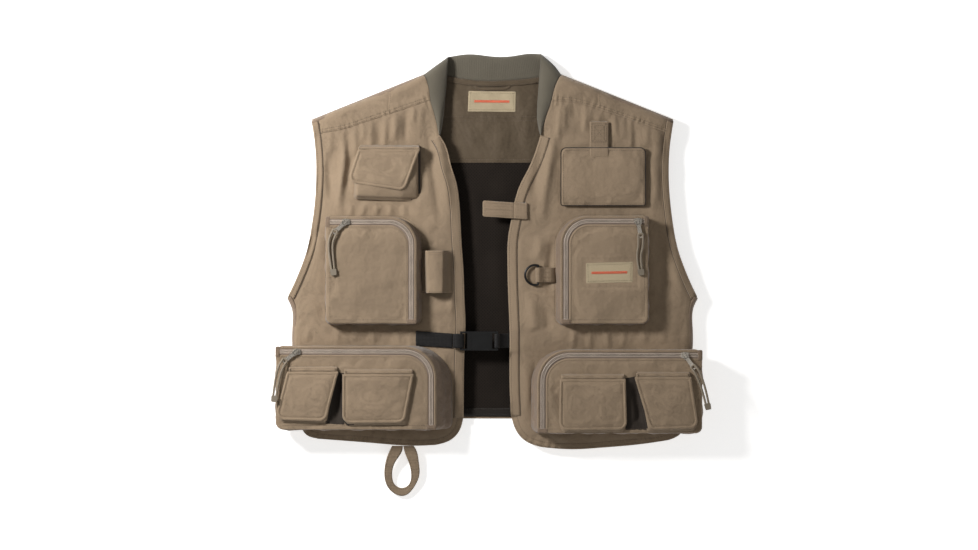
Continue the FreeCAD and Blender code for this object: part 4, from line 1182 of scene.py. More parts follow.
ruled(piece, seam, top_even, 9, band_height, 2.2)
tape_line = curve([(-93, 245.5), (-65, 241.5), (-32, 236), (0, 234.5), (32, 236), (65, 239.5), (93, 245.5)],
                  3)
sweep(piece, tape_line, lens(8.5, 1.6, 0.2, start=-1.5), lambda x, y: max(inner_ground(x, y), 3.2) + 0.6, 2)
for offset in (0.2, 5.6):
    stitches(piece, tape_line + normals(tape_line, False) * offset, lambda x,
             y: max(inner_ground(x, y), 3.2) + 2.1, 1)

FREE = {-1: [(-63, 275.5), (-64.6, 248.5), (-67.5, 213), (-70.3, 185), (-74, 164)],
        1: [(68.9, 279.5), (66, 240), (63.5, 205), (63.5, 185), (67.5, 164)]}
for sign in (-1, 1):
    outer = even(curve(NECKLINE[sign], 1), 1.0)
    free = curve(FREE[sign], 1)
    run = np.r_[0, np.cumsum(np.linalg.norm(np.diff(free, axis=0), axis=1))]
    t1 = np.linspace(0, run[-1], len(outer))
    free = np.c_[np.interp(t1, run, free[:, 0]), np.interp(t1, run, free[:, 1])]
    fold = fold_lines[0 if sign < 0 else 1]

    def facing_height(x, y, s, t, fold=fold, sign=sign):
        rib = 0.22 * np.sin(TURN * s * 36) * np.clip(np.sin(math.pi * t) * 3, 0, 1)
        z = 20.6 + 3.2 * np.sin(math.pi * np.clip(t * 0.9 + 0.02, 0, 1)) ** 0.7 - 5.5 * t ** 2.2 + rib
        z = z + ripple(x, y, 41 + sign, 0.6, 25, 60)
        return z - 9.5 * rolled(near(fold, x, y)[0], 12)

    ruled(piece, outer, free, 16, facing_height, 2.6, flip_faces=sign < 0)
piece.build("vest", "rib_knit", "collar")

# ---------------------------------------------------------------- fronts

GROUND = {}
for sign, word in ((-1, "right"), (1, "left")):
    g = front_lines(sign)
    side_run = flip(SIDE, sign)
    armhole_run = flip(ARMHOLE_LOW, sign)
    loop = outline(
        ("curve", YOKE[sign][1:]),
        ("curve", NECKLINE[sign][3:]),
        ("curve", EDGE[sign][1:]),
        ("curve", CORNER[sign]),
        ("curve", HEM[sign]),
        ("curve", SIDE_CORNER[sign]),
        ("curve", side_run[::-1] + [armhole_run[-1]]),
        ("curve", armhole_run[-2::-1] + [YOKE[sign][0]]),
        step=3.0,
    )
    bare = front_height(sign)
    placket = g["edge"] + normals(g["edge"], False) * 13.0
    hem_seam = g["hem"] + normals(g["hem"], False) * 7.5
    arm_seam = g["armhole"] + normals(g["armhole"], False) * (-10.5)
    if sign < 0:
        placket = g["edge"] - normals(g["edge"], False) * 13.0
        hem_seam = g["hem"] - normals(g["hem"], False) * 7.5
        arm_seam = g["armhole"] + normals(g["armhole"], False) * 10.5
    seams = [placket, hem_seam, arm_seam]

    def height(x, y, bare=bare, seams=seams, g=g):
        z = bare(x, y)
        for line in seams[1:]:
            z = z + groove(x, y, line, 0.5, 1.2)
        return z

    lines = [inward(loop, o) for o in (3.6, 5.6, 8.2)]
    for line in seams[1:]:
        lines += cut_line(line, -1.2, 0, 1.2)
    piece = Piece(word + "_front_cloth", poplin, thread)
    ground = sheet(piece, loop, 3.4, height, 1.3, lines)
    GROUND[sign] = ground
    stitches(piece, hem_seam, ground, 1)
    stitches(piece, g["hem"] + (hem_seam - g["hem"]) * 0.25, ground, 1)
    thing = piece.build("vest", "poplin", word + "_front_panel")

# the yokes lie over the tops of the fronts and roll down over the shoulder seam
piece = Piece("front_yoke_cloth", poplin, thread, poplin_shade)
for sign in (-1, 1):
    g = front_lines(sign)
    loop = outline(("line", [(sign * TIP, TIP_Y), YOKE[sign][0]]), ("curve", YOKE[sign][1:]),
                   ("curve", NECKLINE[sign][1::-1]), step=2.6)
    bare = front_height(sign, True)
    cross = curve([(-147, 228), (-147.5, 212), (-149, 193)]
                  if sign < 0 else [(150, 227), (150, 213), (151, 199.5)], 2)
    height = lambda x, y, bare=bare, g=g, cross=cross: (
        bare(x, y) + 0.9 + groove(x, y, g["yoke"] + (0, 3.4), 0.4)
        + groove(x, y, cross, 0.8) + pucker(x, y, cross, 0.5, 9, 8, 6))
    ground = sheet(piece, loop, 3.2, height, 1.4,
                   [inward(loop, o) for o in (3.6, 5.6, 8.2)] + cut_line(g["yoke"] + (0, 3.4), -1, 0, 1)
                   + cut_line(cross, -1.2, 0, 1.2))
    stitches(piece, curve(YOKE[sign], 2)[3:-3] + (0, 1.6), ground, 1)
    stitches(piece, curve(YOKE[sign], 2)[3:-3] + (0, 5.0), ground, 1)
    stitches(piece, cross + (2.0, 0), ground, 1)
    GROUND[sign * 2] = ground
    # felled seam that rolls round the shoulder
    line = spaced([(sign * NECK, NECK_Y), (sign * TIP, TIP_Y)][:: sign], 4)
    wall = [(5.2, 19.9), (2.6, 18.2), (0.8, 15.6), (-0.35, 11.6), (0.8, 7.4), (2.6, 4.6), (5.2, 2.6),
            (7, 3.6), (3.6, 6.6), (1.9, 11.4), (3.6, 16.6), (7, 18.6), (5.2, 19.9)]
    side = [(-u, w) for u, w in wall] if sign > 0 else [(-u, w) for u, w in wall]
    # the rolled shoulder seam is in the darker poplin: painted shade
    sweep(piece, line, side[::-1], None, 2)
    GROUND[("shoulder", sign)] = line
piece.build("vest", "poplin", "front_yokes")

# the side panels are in the darker poplin: painted shade
piece = Piece("side_seam_cloth", poplin_shade, thread)
for sign in (-1, 1):
    line = curve(flip([(ARM, ARM_Y)] + SIDE + [(275, HEM_Y)], sign), 4)
    line = line[line[:, 1] > HEM_Y + 9]
    if sign < 0:
        line = line[::-1]
    wall = [(5.2, 19.4), (2.6, 17.8), (0.8, 15.4), (-0.35, 11.4), (0.8, 7.2), (2.6, 4.4), (5.2, 2.6),
            (7, 3.6), (3.6, 6.6), (1.9, 11.4), (3.6, 16.4), (7, 18.2), (5.2, 19.4)]
    sweep(piece, line, [(-u, w) for u, w in wall][::-1], None, 0)
piece.build("vest", "poplin", "side_panels")

# bindings
piece = Piece("front_edge_binding", binding_cloth, thread, painted_seam_shade)
for sign in (-1, 1):
    line = curve(EDGE[sign], 2.6)
    inner_side = -1 if sign < 0 else 1
    ground = GROUND[sign]
    profile = [(inner_side * u, w) for u, w in
               [(-0.9, -0.6), (-0.7, 0.5), (0.4, 1.15), (2.4, 1.2), (6, 1.35), (10, 1.25), (11.8, 0.95),
                (12.6, 0.1),
                (6, 0.1), (1, -0.5), (-0.9, -0.6)]]
    top = Ground(*sweep(piece, line, profile if inner_side < 0 else profile[::-1], ground))
    side = normals(line, False) * inner_side
    stitches(piece, line + side * 1.9, top, 1)
    stitches(piece, line + side * 10.9, top, 1)
    # dark cord at the binding's inner edge: painted shade
    sweep(piece, line + side * 13.1, bead(0.4, 0, 0.2), ground, 2)
piece.build("vest", "poplin", "front_bindings")

piece = Piece("armhole_binding", binding_cloth, thread, painted_seam_shade)
for sign in (-1, 1):
    line = curve(flip([(TIP - 0.5, TIP_Y - 3), (TIP - 3.5, 165)] + ARMHOLE_LOW[:-1]
                      + [(ARM - 2, ARM_Y + 3)], sign), 2.8)
    inner_side = 1 if sign < 0 else -1
    main, upper = GROUND[sign], GROUND[sign * 2]

    def ground(x, y, main=main, upper=upper):
        """The higher of the two surfaces, or the front's nearest point where neither is below."""
        z = max(main(x, y, NOWHERE), upper(x, y, NOWHERE))
        return z if z > NOWHERE else main(x, y)

    profile = [(inner_side * u, w) for u, w in
               [(-0.9, -1.0), (-0.8, 0.5), (0.4, 1.2), (2.4, 1.25), (5, 1.3), (7.6, 1.1), (8.8, 0.2),
                (5, 0.1), (-0.9, -1.0)]]
    sweep(piece, line, profile if inner_side < 0 else profile[::-1], ground)
    side = normals(line, False) * inner_side
    over = lambda x, y, ground=ground: ground(x, y) + 1.15
    stitches(piece, line + side * 1.9, over, 1)
    stitches(piece, line + side * 7.2, over, 1)
    # dark cord at the binding's inner edge: painted shade
    sweep(piece, line + side * 9.3, bead(0.4, 0, 0.2), ground, 2)
    sweep(piece, line, profile if inner_side < 0 else profile[::-1], lambda x, y: back_ground(x, y) + 0.1)
piece.build("vest", "poplin", "armhole_bindings")

# ---------------------------------------------------------------- zip pockets


def pocket_points(sign, inner, outer, y_low, y_high):
    return [(sign * inner, y_low), (sign * outer, y_low), (sign * outer, y_high), (sign * inner, y_high)]


def zip_line(sign, inner, outer, y_low, y_high, big, offset, gap=4.0, step=1.0):
    """The zip's line at this distance inside the pocket's edge, from its outer end to its lower end."""
    r = big - offset
    cx, cy = inner + big, y_high - big
    arc = [(cx - r * math.sin(a), cy + r * math.cos(a)) for a in np.linspace(0, math.pi / 2, 24)]
    line = [(outer - gap, y_high - offset)] + arc + [(inner + offset, y_low + gap)]
    return even(np.array(flip(line, sign), float), step)


def zip_pocket(name, sign, inner, outer, y_low, y_high, big, face, bulge, crown, seed, dips=(), cap=6.0,
               wedge=(), label=None, limit=1.0):
    """Bellows pocket: a face with a turned edge, a gusset folded outward, and the zip along two sides."""
    ground = GROUND[sign]
    lid = rounded(pocket_points(sign, inner, outer, y_low, y_high), [9, 9, 9, big], side=26, arc=12)
    base = rounded(pocket_points(sign, inner - bulge, outer + 1, y_low - 1, y_high),
                   [10, 10, 10, big + bulge / 2], side=26, arc=12)
    if area(lid) < 0:
        lid, base = lid[::-1], base[::-1]

    def band(x, y):
        """How far inside the zip's outer edge a point is."""
        lined = np.array(flip([(outer + 60, y_high)] + [
            (inner + big - big * math.sin(a), y_high - big + big * math.cos(a))
            for a in np.linspace(0, math.pi / 2, 16)] + [(inner, y_low - 60)], sign), float)
        return near(lined, x, y)[0]

    def height(x, y):
        u = band(x, y)
        d = near(lid, x, y, True)[0]
        z = face + 0.3 + 0 * x
        z = z + 0.9 * np.exp(-((u - 2.0) / 1.5) ** 2)                       # turned edge outside the zip
        z = z - 2.2 * np.clip((u - 3.2) / 0.8, 0, 1) * np.clip((12.2 - u) / 0.8, 0, 1)
        z = z + 1.0 * np.exp(-((u - 13.4) / 1.4) ** 2)                      # turned edge of the face
        rest = np.clip((u - 14) / 30, 0, 1)
        z = z + crown * (3 * rest ** 2 - 2 * rest ** 3) * np.clip(d / 26, 0, 1) ** 0.6
        z = z - 0.8 * np.exp(-(d / 1.4) ** 2) - 0.4 * np.exp(-((d - 5.5) / 1.1) ** 2) * (u > 20)
        z = z + folds(x, y, dips) * np.clip((u - 15.5) / 6, 0, 1)
        return z

    lines = [inward(lid, o) for o in (0.8, 1.8)]
    if len(wedge):
        wedge = np.array(wedge, float)
        lines.append(even(np.vstack([wedge, wedge[:1]]), 2.0))
    for o in (1.2, 2.2, 3.2, 4.0, 11.4, 12.2, 13.4, 15.2):
        lines.append(zip_line(sign, inner, outer, y_low, y_high, big, o, 0.0, 2.2))
    ring_line = inward(lid, 5.5)
    lines += [ring_line]
    xy, tris, ring = fill(lid, 3.6, lines)
    top = np.c_[xy, height(xy[:, 0], xy[:, 1])]
    verts, faces = [top], list(tris)
    out = -normals(lid, True)
    t_along = np.r_[0, np.cumsum(np.linalg.norm(np.diff(lid, axis=0), axis=1))]
    rows, count = 9, len(lid)
    rnd = random.Random(seed)
    a, b = rnd.uniform(0, 6), rnd.uniform(0, 6)
    before = ring
    total = len(top)
    high = face - 1.0
    for k in range(1, rows + 1):
        t = k / rows
        swell = math.sin(math.pi * t)
        crease = -1.7 * math.exp(-((t - 0.5) / 0.13) ** 2)
        wrinkle = (0.8 * np.sin(t_along / 7.1 + a + 2 * t) + 0.5
                   * np.sin(t_along / 3.7 + b - 3 * t)) * swell
        bulged = (1.6 * swell + crease * swell + wrinkle) * np.where(lid[:, 1] > y_high - 12, 0.25, 1.0)
        spot = lid + (base - lid) * (t ** 0.8) + out * bulged[:, None]
        floor_z = np.array([max(20.4, min(ground(x, y, 20.4), 23.5)) for x, y in spot]) - 0.3
        z = high + (floor_z - high) * t
        verts.append(np.c_[spot, z])
        here = list(range(total, total + count))
        faces += strips(before, here)
        before, total = here, total + count
    # a closed bottom, so that the pocket is one shell
    verts.append(np.array([[lid[:, 0].mean(), lid[:, 1].mean(), 21.2]]))
    faces += [(before[k], before[(k + 1) % count], total)[::-1] for k in range(count)]
    verts = np.vstack(verts)
    pin = np.zeros(len(verts))
    still = np.where(lid[:, 1] > y_high - 12, 0.92, 0.6)
    u = band(xy[:, 0], xy[:, 1])
    d = near(lid, xy[:, 0], xy[:, 1], True)[0]
    pin[:len(top)] = np.maximum(np.clip((20 - u) / 5, 0, 1), np.clip((5 - d) / 4, 0, 1) * 0.9)
    for k in range(rows):
        start = len(top) + k * count
        pin[start:start + count] = np.maximum(still,
                                              0.85 if k in (0, rows - 2)
                                              else (1.0 if k == rows - 1 else 0.6))
    pin[-1] = 1.0
    verts = simulate(verts, faces, pin, cap=cap, grow=0.03)
    # the pulls pass over the face, so it rises no further than this
    face_z = verts[:len(top), 2]
    over = np.maximum(face_z - face - limit + 1, 0)
    verts[:len(top), 2] = np.where(over > 0, face + limit - 1 + (1 - np.exp(-over)), face_z)
    if label:
        x0, x1, y0, y1 = label
        d = np.minimum(np.minimum(xy[:, 0] - x0, x1 - xy[:, 0]), np.minimum(xy[:, 1] - y0, y1 - xy[:, 1]))
        w = np.clip(d / 8 + 1, 0, 1)
        verts[:len(top), 2] += (np.minimum(verts[:len(top), 2], face + 0.1) - verts[:len(top), 2]) * w
    piece = Piece(name + "_bag", poplin, thread, poplin_shade, painted_deep_shade)
    # the face in the wedge between the small pockets is painted shade, in near-black cloth
    if len(wedge):
        centre = verts[np.array(faces[:len(tris)])].mean(1)[:, :2]
        deep = inside(wedge, centre)
        piece.add(verts, [f for f, k in zip(faces, deep) if not k], 0)
        piece.add(verts, [f for f, k in zip(faces, deep) if k], 3)
    else:
        piece.add(verts, faces[:len(tris)], 0)
    # the gusset walls are in the darker poplin: painted shade
    piece.add(verts * 1.0, faces[len(tris):], 2)
    surface = Ground(verts, faces)
    for o in (1.6, 14.6):
        stitches(piece, zip_line(sign, inner, outer, y_low, y_high, big, o, 2.0), surface, 1)
    stitches(piece, [(sign * (inner + 16), y_low + 5.3), (sign * (outer - 8), y_low + 5.3)], surface, 1)
    stitches(piece, [(sign * (outer - 5.3), y_low + 8), (sign * (outer - 5.3), y_high - 17)], surface, 1)
    foot = rounded(pocket_points(sign, inner - bulge - 2.2, outer + 2.6, y_low - 2.6, y_high + 2.0),
                   [11, 11, 11, big + bulge / 2], side=26, arc=12)
    if seed < 3:
        stitches(piece, np.vstack([foot, foot[:1]]), lambda x, y: ground(x, y), 1)
    bag = piece.build("vest", "poplin", name)

    # the zip: two tapes and two rows of coil
    piece = Piece(name + "_zip", tape_cloth, coil_nylon, thread, poplin_shade)
    level = face - 0.35
    for low, high_u in ((2.6, 6.9), (7.9, 12.6)):
        line = zip_line(sign, inner, outer, y_low, y_high, big, 0.0, 1.5, 2.2)
        s = -1 if sign > 0 else 1
        normal_left = normals(line, False)
        # left of the line's direction is away from or towards the pocket's middle
        middle = np.array([sign * (inner + outer) / 2, (y_low + y_high) / 2])
        toward = np.sign(np.sum(normal_left[5] * (middle - line[5])))
        profile = [(toward * p, level + w) for p, w in
                   [(low, 0.0), (low + 0.3, 0.45), ((low + high_u) / 2, 0.62), (high_u - 0.3, 0.5),
                    (high_u, 0.0),
                    ((low + high_u) / 2, -0.4), (low, 0.0)]]
        sweep(piece, line, profile if toward < 0 else profile[::-1], None, 0)
    for o in (5.3, 9.5):
        # corded edge beside each row of coil
        sweep(piece, zip_line(sign, inner, outer, y_low, y_high, big, o, 3.5, 1.8),
              [(0.55 * math.cos(a), level + 0.75 + 0.55 * math.sin(a)) for a in np.arange(6) * math.pi / 3]
              + [(0.55, level + 0.75)], None, 1)
    middle_line = zip_line(sign, inner, outer, y_low, y_high, big, 7.4, 4.0, 0.8)
    t = np.r_[0, np.cumsum(np.linalg.norm(np.diff(middle_line, axis=0), axis=1))]
    side = normals(middle_line, False)
    verts, faces = [], []
    pitch = 1.9
    for k in range(int(t[-1] / pitch * 2)):
        s = k * pitch / 2 + 0.3
        way = 1 if k % 2 else -1
        c = np.array([np.interp(s, t, middle_line[:, j]) for j in (0, 1)])
        n = np.array([np.interp(s, t, side[:, j]) for j in (0, 1)])
        n /= np.linalg.norm(n)
        along = np.array((n[1], -n[0]))
        first = len(verts)
        for e, (r, zc) in ((-0.55, (0.25, 0.72)), (-0.2, (0.5, 0.85)), (0.9, (0.52, 0.95)),
                           (2.0, (0.5, 0.75)), (2.4, (0.25, 0.4))):
            p = c + n * way * e
            for q in range(6):
                ang = q * math.pi / 3
                verts.append((*(p + along * r * 0.9 * math.cos(ang)), level + zc + r * math.sin(ang)))
        for j in range(4):
            for q in range(6):
                w = (q + 1) % 6
                a, b = first + j * 6 + q, first + j * 6 + w
                faces.append((a, b, b + 6, a + 6) if way > 0 else (a, a + 6, b + 6, b))
        cap_a, cap_b = tuple(first + q for q in range(6)), tuple(first + 24 + q for q in range(6))
        faces += [cap_a[::-1], cap_b] if way > 0 else [cap_a, cap_b[::-1]]
    piece.add(verts, faces, 1)
    for o in (3.9, 11.1):
        stitches(piece, zip_line(sign, inner, outer, y_low, y_high, big, o, 3.0), lambda x, y: level + 0.6,
                 2, 2.8, 2.0, 0.22)
    # cloth stops over the tape's two ends, in the darker poplin that is painted shade
    for (x0, x1), (y0, y1) in (((outer - 5.5, outer + 0.4), (y_high - 14.5, y_high - 0.6)),
                               ((inner + 0.6, inner + 14.0), (y_low - 0.2, y_low + 6.0))):
        stop = rounded([(sign * x0, y0), (sign * x1, y0), (sign * x1, y1), (sign * x0, y1)], 1.6, side=6,
                       arc=4)
        g2 = sheet(piece, stop, 2.0, lambda x, y: face + 1.3 + 0.0 * x, 1.5, slot=3)
        ringed = inward(stop, 1.5)
        stitches(piece, np.vstack([ringed, ringed[:1]]), g2, 2, 2.6, 1.9, 0.25)
    piece.build("vest", "zip_tape", name + "_zipper")
    return surface


CHEST, LOWER = 43.5, 49.5
SURFACE = {}
SURFACE["right_chest"] = zip_pocket(
    "right_chest_pocket", -1, 107, 235, -104, 47, 40, CHEST, 6, 3.2, 1,
    [([(-186, 36), (-187, 14)], 5, -2.8), ([(-172, 36), (-170, 16)], 4, -2.3),
     ([(-200, 30), (-204, 8)], 5, 1.0),
     ([(-150, 30), (-136, 4), (-126, -28)], 6, 1.6), ([(-128, -60), (-150, -84), (-180, -92)], 10, 1.4),
     ([(-222, -20), (-224, -70)], 6, -1.2), ([(-160, 0), (-176, -30), (-170, -70)], 14, -1.2)],
    cap=3.5)
SURFACE["left_chest"] = zip_pocket(
    "left_chest_pocket", 1, 96, 219.5, -104, 48, 40, CHEST, 6, 2.8, 2,
    [([(118, 18), (134, 26), (150, 30)], 5, -2.4), ([(112, -12), (122, 6)], 4, -1.8),
     ([(120, 0), (126, -50), (122, -90)], 6, 1.5),
     ([(140, -80), (180, -92), (206, -84)], 9, 1.4), ([(170, 36), (172, 16)], 5, -1.9),
     ([(146, -52), (150, -96)], 5, -1.0)], cap=3.5, label=(130, 200, -49, -15))
GAPS = {-1: [([(-213, -168), (-217, -205), (-221, -250)], 6.0, -7.5)],
        1: [([(196, -178), (204, -215), (209, -256)], 6.5, -7.5)]}
SURFACE["right_lower"] = zip_pocket(
    "right_lower_pocket", -1, 79, 305, -253, -136, 45, LOWER, 22, 0.8, 3,
    GAPS[-1] + [([(-120, -158), (-106, -180), (-100, -220)], 6, 1.4),
                ([(-230, -158), (-180, -160)], 6, -1.8),
                ([(-150, -153), (-147, -168)], 4, -1.8), ([(-190, -153), (-193, -168)], 4, -1.6),
                ([(-110, -190), (-98, -196)], 4, -1.8),
                ([(-280, -158), (-250, -162)], 5, 0.8)], cap=2.2,
    wedge=[(-220, -171.5), (-238, -244.5), (-208.5, -246), (-206, -175)])
SURFACE["left_lower"] = zip_pocket(
    "left_lower_pocket", 1, 63, 295, -258, -141, 45, LOWER, 8, 0.8, 4,
    GAPS[1] + [([(84, -170), (82, -200), (86, -240)], 6, 1.6),
               ([(110, -164), (150, -170), (190, -163)], 6, 1.0),
               ([(230, -162), (262, -160)], 6, -1.6), ([(128, -158), (131, -174)], 4, -2.0),
                ([(166, -158), (163, -174)], 4, -1.8), ([(80, -196), (92, -200)], 4, -1.8)], cap=2.2,
    wedge=[(187, -181), (187, -253.5), (221, -253.5), (202, -179)])

woven_label("chest_label_cloth", [(132.5, -47), (197.5, -45.5), (198, -17), (132, -19)],
            SURFACE["left_chest"], 0.45,
            "chest_label", ((139.5, -32.6), (190, -31.6), 2.9), thread)

# ---------------------------------------------------------------- flap pockets


def pouch(piece, body, z0, z1, ground, crown=0.8, dark=(), step=3.4, edge=2.6, slope=None, mouth=None):
    """Small patch pocket: a crowned face over side walls that tuck in below.

    dark: circles (x, y, radius) inside which the sides are painted shade, in near-black cloth.
    """
    body = body if area(body) > 0 else body[::-1]
    top_loop = inward(body, edge * 0.6)
    extra = [inward(body, edge * 0.6 + o) for o in (0.8, 1.9, 3.4)]
    if mouth:
        x0, x1, at = mouth
        extra += [spaced([(x0, at + o), (x1, at + o)], 2.6) for o in (-5.4, -4.4, -1.5, -0.8, 0.8, 1.5)]
    xy, tris, ring = fill(top_loop, step, extra)
    d = near(top_loop, xy[:, 0], xy[:, 1], True)[0]
    z = z1 - edge * (1 - np.sqrt(np.clip(1 - (1 - np.clip(d / edge, 0, 1)) ** 2, 0, 1))) * 0.8
    z = z + crown * np.clip(d / 20, 0, 1)
    if slope is not None:
        z = z + slope(xy[:, 0], xy[:, 1])
    if mouth:
        # the mouth under the flap, with a turned hem below it
        within = np.clip((xy[:, 0] - x0 + 1) / 2, 0, 1) * np.clip((x1 + 1 - xy[:, 0]) / 2, 0, 1)
        z = z - within * (2.4 * np.exp(-((xy[:, 1] - at) / 0.9) ** 2) + 0.5
                          * np.exp(-((xy[:, 1] - at + 4.9) / 0.7) ** 2))
    rim_z = z[ring]
    verts, faces = [np.c_[xy, z]], list(tris)
    total, before, n = len(xy), ring, len(top_loop)
    out = -normals(top_loop, True)
    for k in range(1, 6):
        t = k / 5
        spot = top_loop + (body - top_loop) * min(1,
                                                  t * 2.2) + out * (1.2 * math.sin(math.pi * t) - 0.5 * t)
        low = np.array([ground(x, y) for x, y in spot]) - 0.6 if ground else np.full(n, z0)
        verts.append(np.c_[spot, rim_z + (low - rim_z) * t])
        here = list(range(total, total + n))
        faces += strips(before, here)
        before, total = here, total + n
    verts.append(np.array([[body[:, 0].mean(), body[:, 1].mean(), z0]]))
    faces += [(before[k], before[(k + 1) % n], total)[::-1] for k in range(n)]
    verts = np.vstack(verts)
    split = [[], []]
    for f in faces[len(tris):]:
        c = verts[list(f)].mean(0)
        split[1 if any(math.hypot(c[0] - x, c[1] - y) < r for x, y, r in dark) else 0].append(f)
    # the mouth's line under the flap is painted shade, in near-black cloth
    if mouth:
        for f in tris:
            c = verts[list(f)].mean(0)
            split[1 if abs(c[1] - at) < 0.9 and x0 < c[0] < x1 else 0].append(f)
    else:
        split[0] += list(tris)
    piece.add(verts, split[0], 0)
    if split[1]:
        piece.add(verts, split[1], 2)
    return Ground(verts, faces)


def flap(name, corners, z, droop, dents, seed, bowl=None):
    """Pocket flap: two layers turned and topstitched, so that its edge stands up like a cord."""
    loop = rounded(corners, [0.8, 0.8, 11, 11], side=24, arc=8)
    loop = loop if area(loop) > 0 else loop[::-1]
    hinge = np.array([corners[0], corners[1]], float)

    def height(x, y):
        d = near(loop, x, y, True)[0]
        h = near(hinge, x, y)[0]
        w = z + 0.9 * np.clip(d / 22, 0, 1) + ripple(x, y, seed, 0.35, 25, 60)
        w = w + 0.8 * np.exp(-((d - 1.6) / 1.5) ** 2) * np.clip(h / 4, 0,
                                                                1) - 0.8 * np.exp(-((d - 4.0)
                                                                        / 0.9) ** 2) * np.clip(h / 4, 0, 1)
        w = w - droop * np.clip(h / 60, 0, 1) ** 2 + folds(x, y, dents)
        if bowl:
            w = w - bowl[4] * np.exp(-((x - bowl[0]) / bowl[2]) ** 2
                                     - ((y - bowl[1]) / bowl[3]) ** 2) * np.clip((d - 4.5) / 8, 0, 1)
        return w

    piece = Piece(name + "_cloth", poplin, thread)
    g = sheet(piece, loop, 3.0, height, 1.3, [inward(loop, o) for o in (1.6, 3.1, 4.0, 4.9)], roll=0.45)
    ring = inward(loop, 4.0)
    ring = ring[near(hinge, ring[:, 0], ring[:, 1])[0] > 4.5]
    turn = int(np.argmax(np.linalg.norm(np.diff(ring, axis=0), axis=1))) + 1
    if np.linalg.norm(ring[turn] - ring[turn - 1]) > 12:
        ring = np.vstack([ring[turn:], ring[:turn]])
    stitches(piece, ring, g, 1, 3.0, 2.2, 0.28)
    thing = piece.build(name, "poplin", name)
    abs(area(loop)) * 1e-6
    return g


SMALL = {
    "right_flap_pockets": (-1, "right_lower", [
        ("right_outer", [(-286, -171.5), (-219, -171.5), (-232, -244), (-300, -242)],
         [(-289, -171.8), (-217, -171.8), (-235, -241), (-306, -239)], -171.5,
         [([(-262, -190), (-240, -214), (-252, -232)], 16, 0.8)], [(-223, -205, 40)]),
        ("right_inner", [(-208, -175), (-113, -175), (-121, -246), (-208, -247)],
         [(-211, -175.3), (-111, -175.3), (-124, -243), (-211, -244)], -175,
         [([(-190, -195), (-165, -206), (-140, -196)], 12, -1.3), ([(-186, -222), (-150, -230)], 9, 0.8)],
         [(-208, -212, 36)]),
    ]),
    "left_flap_pockets": (1, "left_lower", [
        ("left_inner", [(97, -182), (185, -182), (186, -255.5), (97, -256)],
         [(95, -182.3), (187, -182.3), (189, -253), (94, -254)], -182,
         [([(150, -196), (156, -222), (152, -244)], 5, 0.9), ([(120, -200), (112, -236)], 12, 0.9)],
         [(186, -218, 30)]),
        ("left_outer", [(203, -179), (277, -179), (286, -254.5), (218, -255.5)],
         [(200, -179.3), (279, -179.3), (290, -251), (222, -253)], -179,
         [([(240, -198), (262, -222)], 12, 0.8), ([(230, -232), (262, -240)], 9, -0.7)], [(208, -215, 38)]),
    ]),
}
for node, (sign, host, rows) in SMALL.items():
    piece = Piece(node + "_cloth", poplin, thread, painted_deep_shade, poplin_shade)
    for word, body, cover, hinge_y, dents, dark in rows:
        body_loop = rounded(body, [1, 1, 6, 6], side=22, arc=6)
        g = pouch(piece, body_loop, LOWER - 4.0, LOWER + 5.0, SURFACE[host], 0.3, dark,
                  mouth=(body[0][0] + 5, body[1][0] - 5, hinge_y - 5))
        stitches(piece, [(body[0][0] + 5, hinge_y - 9.9), (body[1][0] - 5, hinge_y - 9.9)], g, 1, 3.0, 2.2,
                 0.25, 0.05)
        x0, x1 = body[0][0], body[1][0]
        loop = rounded([(x0, hinge_y + 0.1), (x1, hinge_y + 0.1), (x1, hinge_y + 6.4), (x0, hinge_y + 6.4)],
                       0.9, side=34, arc=2)
        g = sheet(piece, loop, 2.4,
                  lambda a, b, y=hinge_y: LOWER + 6.9 + 0.25 * np.sin(a / 2.9)
                  * np.exp(-((b - y - 3.2) / 2) ** 2)
                  - 4.6 * np.clip((b - y - 4.6) / 1.8, 0, 1) ** 1.5, 2.2, [inward(loop, 1.2)])
        stitches(piece, [(x0 + 1.5, hinge_y + 1.3), (x1 - 1.5, hinge_y + 1.3)], g, 1, 3.0)
        stitches(piece, [(x0 + 1.5, hinge_y + 4.4), (x1 - 1.5, hinge_y + 4.4)], g, 1, 3.0)
        for x in (x0 + 1.8, x1 - 1.8):
            bartack(piece, (x, hinge_y + 0.9), (x, hinge_y + 4.8), g, 1)
        flap(word + "_flap", cover, LOWER + 6.9, 0.5, dents, len(word) + int(abs(hinge_y)))
    thing = piece.build("vest", "poplin", node)

# chest flap pocket
piece = Piece("chest_flap_pocket_cloth", poplin, thread, painted_deep_shade, poplin_shade)
body_loop = rounded([(-189.4, 148.2), (-103, 147.6), (-103, 69.6), (-197, 73)], [1, 1, 5, 5], side=24,
                    arc=6)


def chest_slope(x, y):
    right = np.clip((x + 128 - (y - 84) * 0.12) / 26, 0, 1)
    low = np.clip((94 - y) / 24, 0, 1)
    return -9.5 * right ** 1.4 * np.clip((140 - y) / 16, 0, 1) - 9.0 * low ** 1.6 \
        - 14.0 * np.clip((y - 143.2) / 3.8, 0, 1) ** 1.3


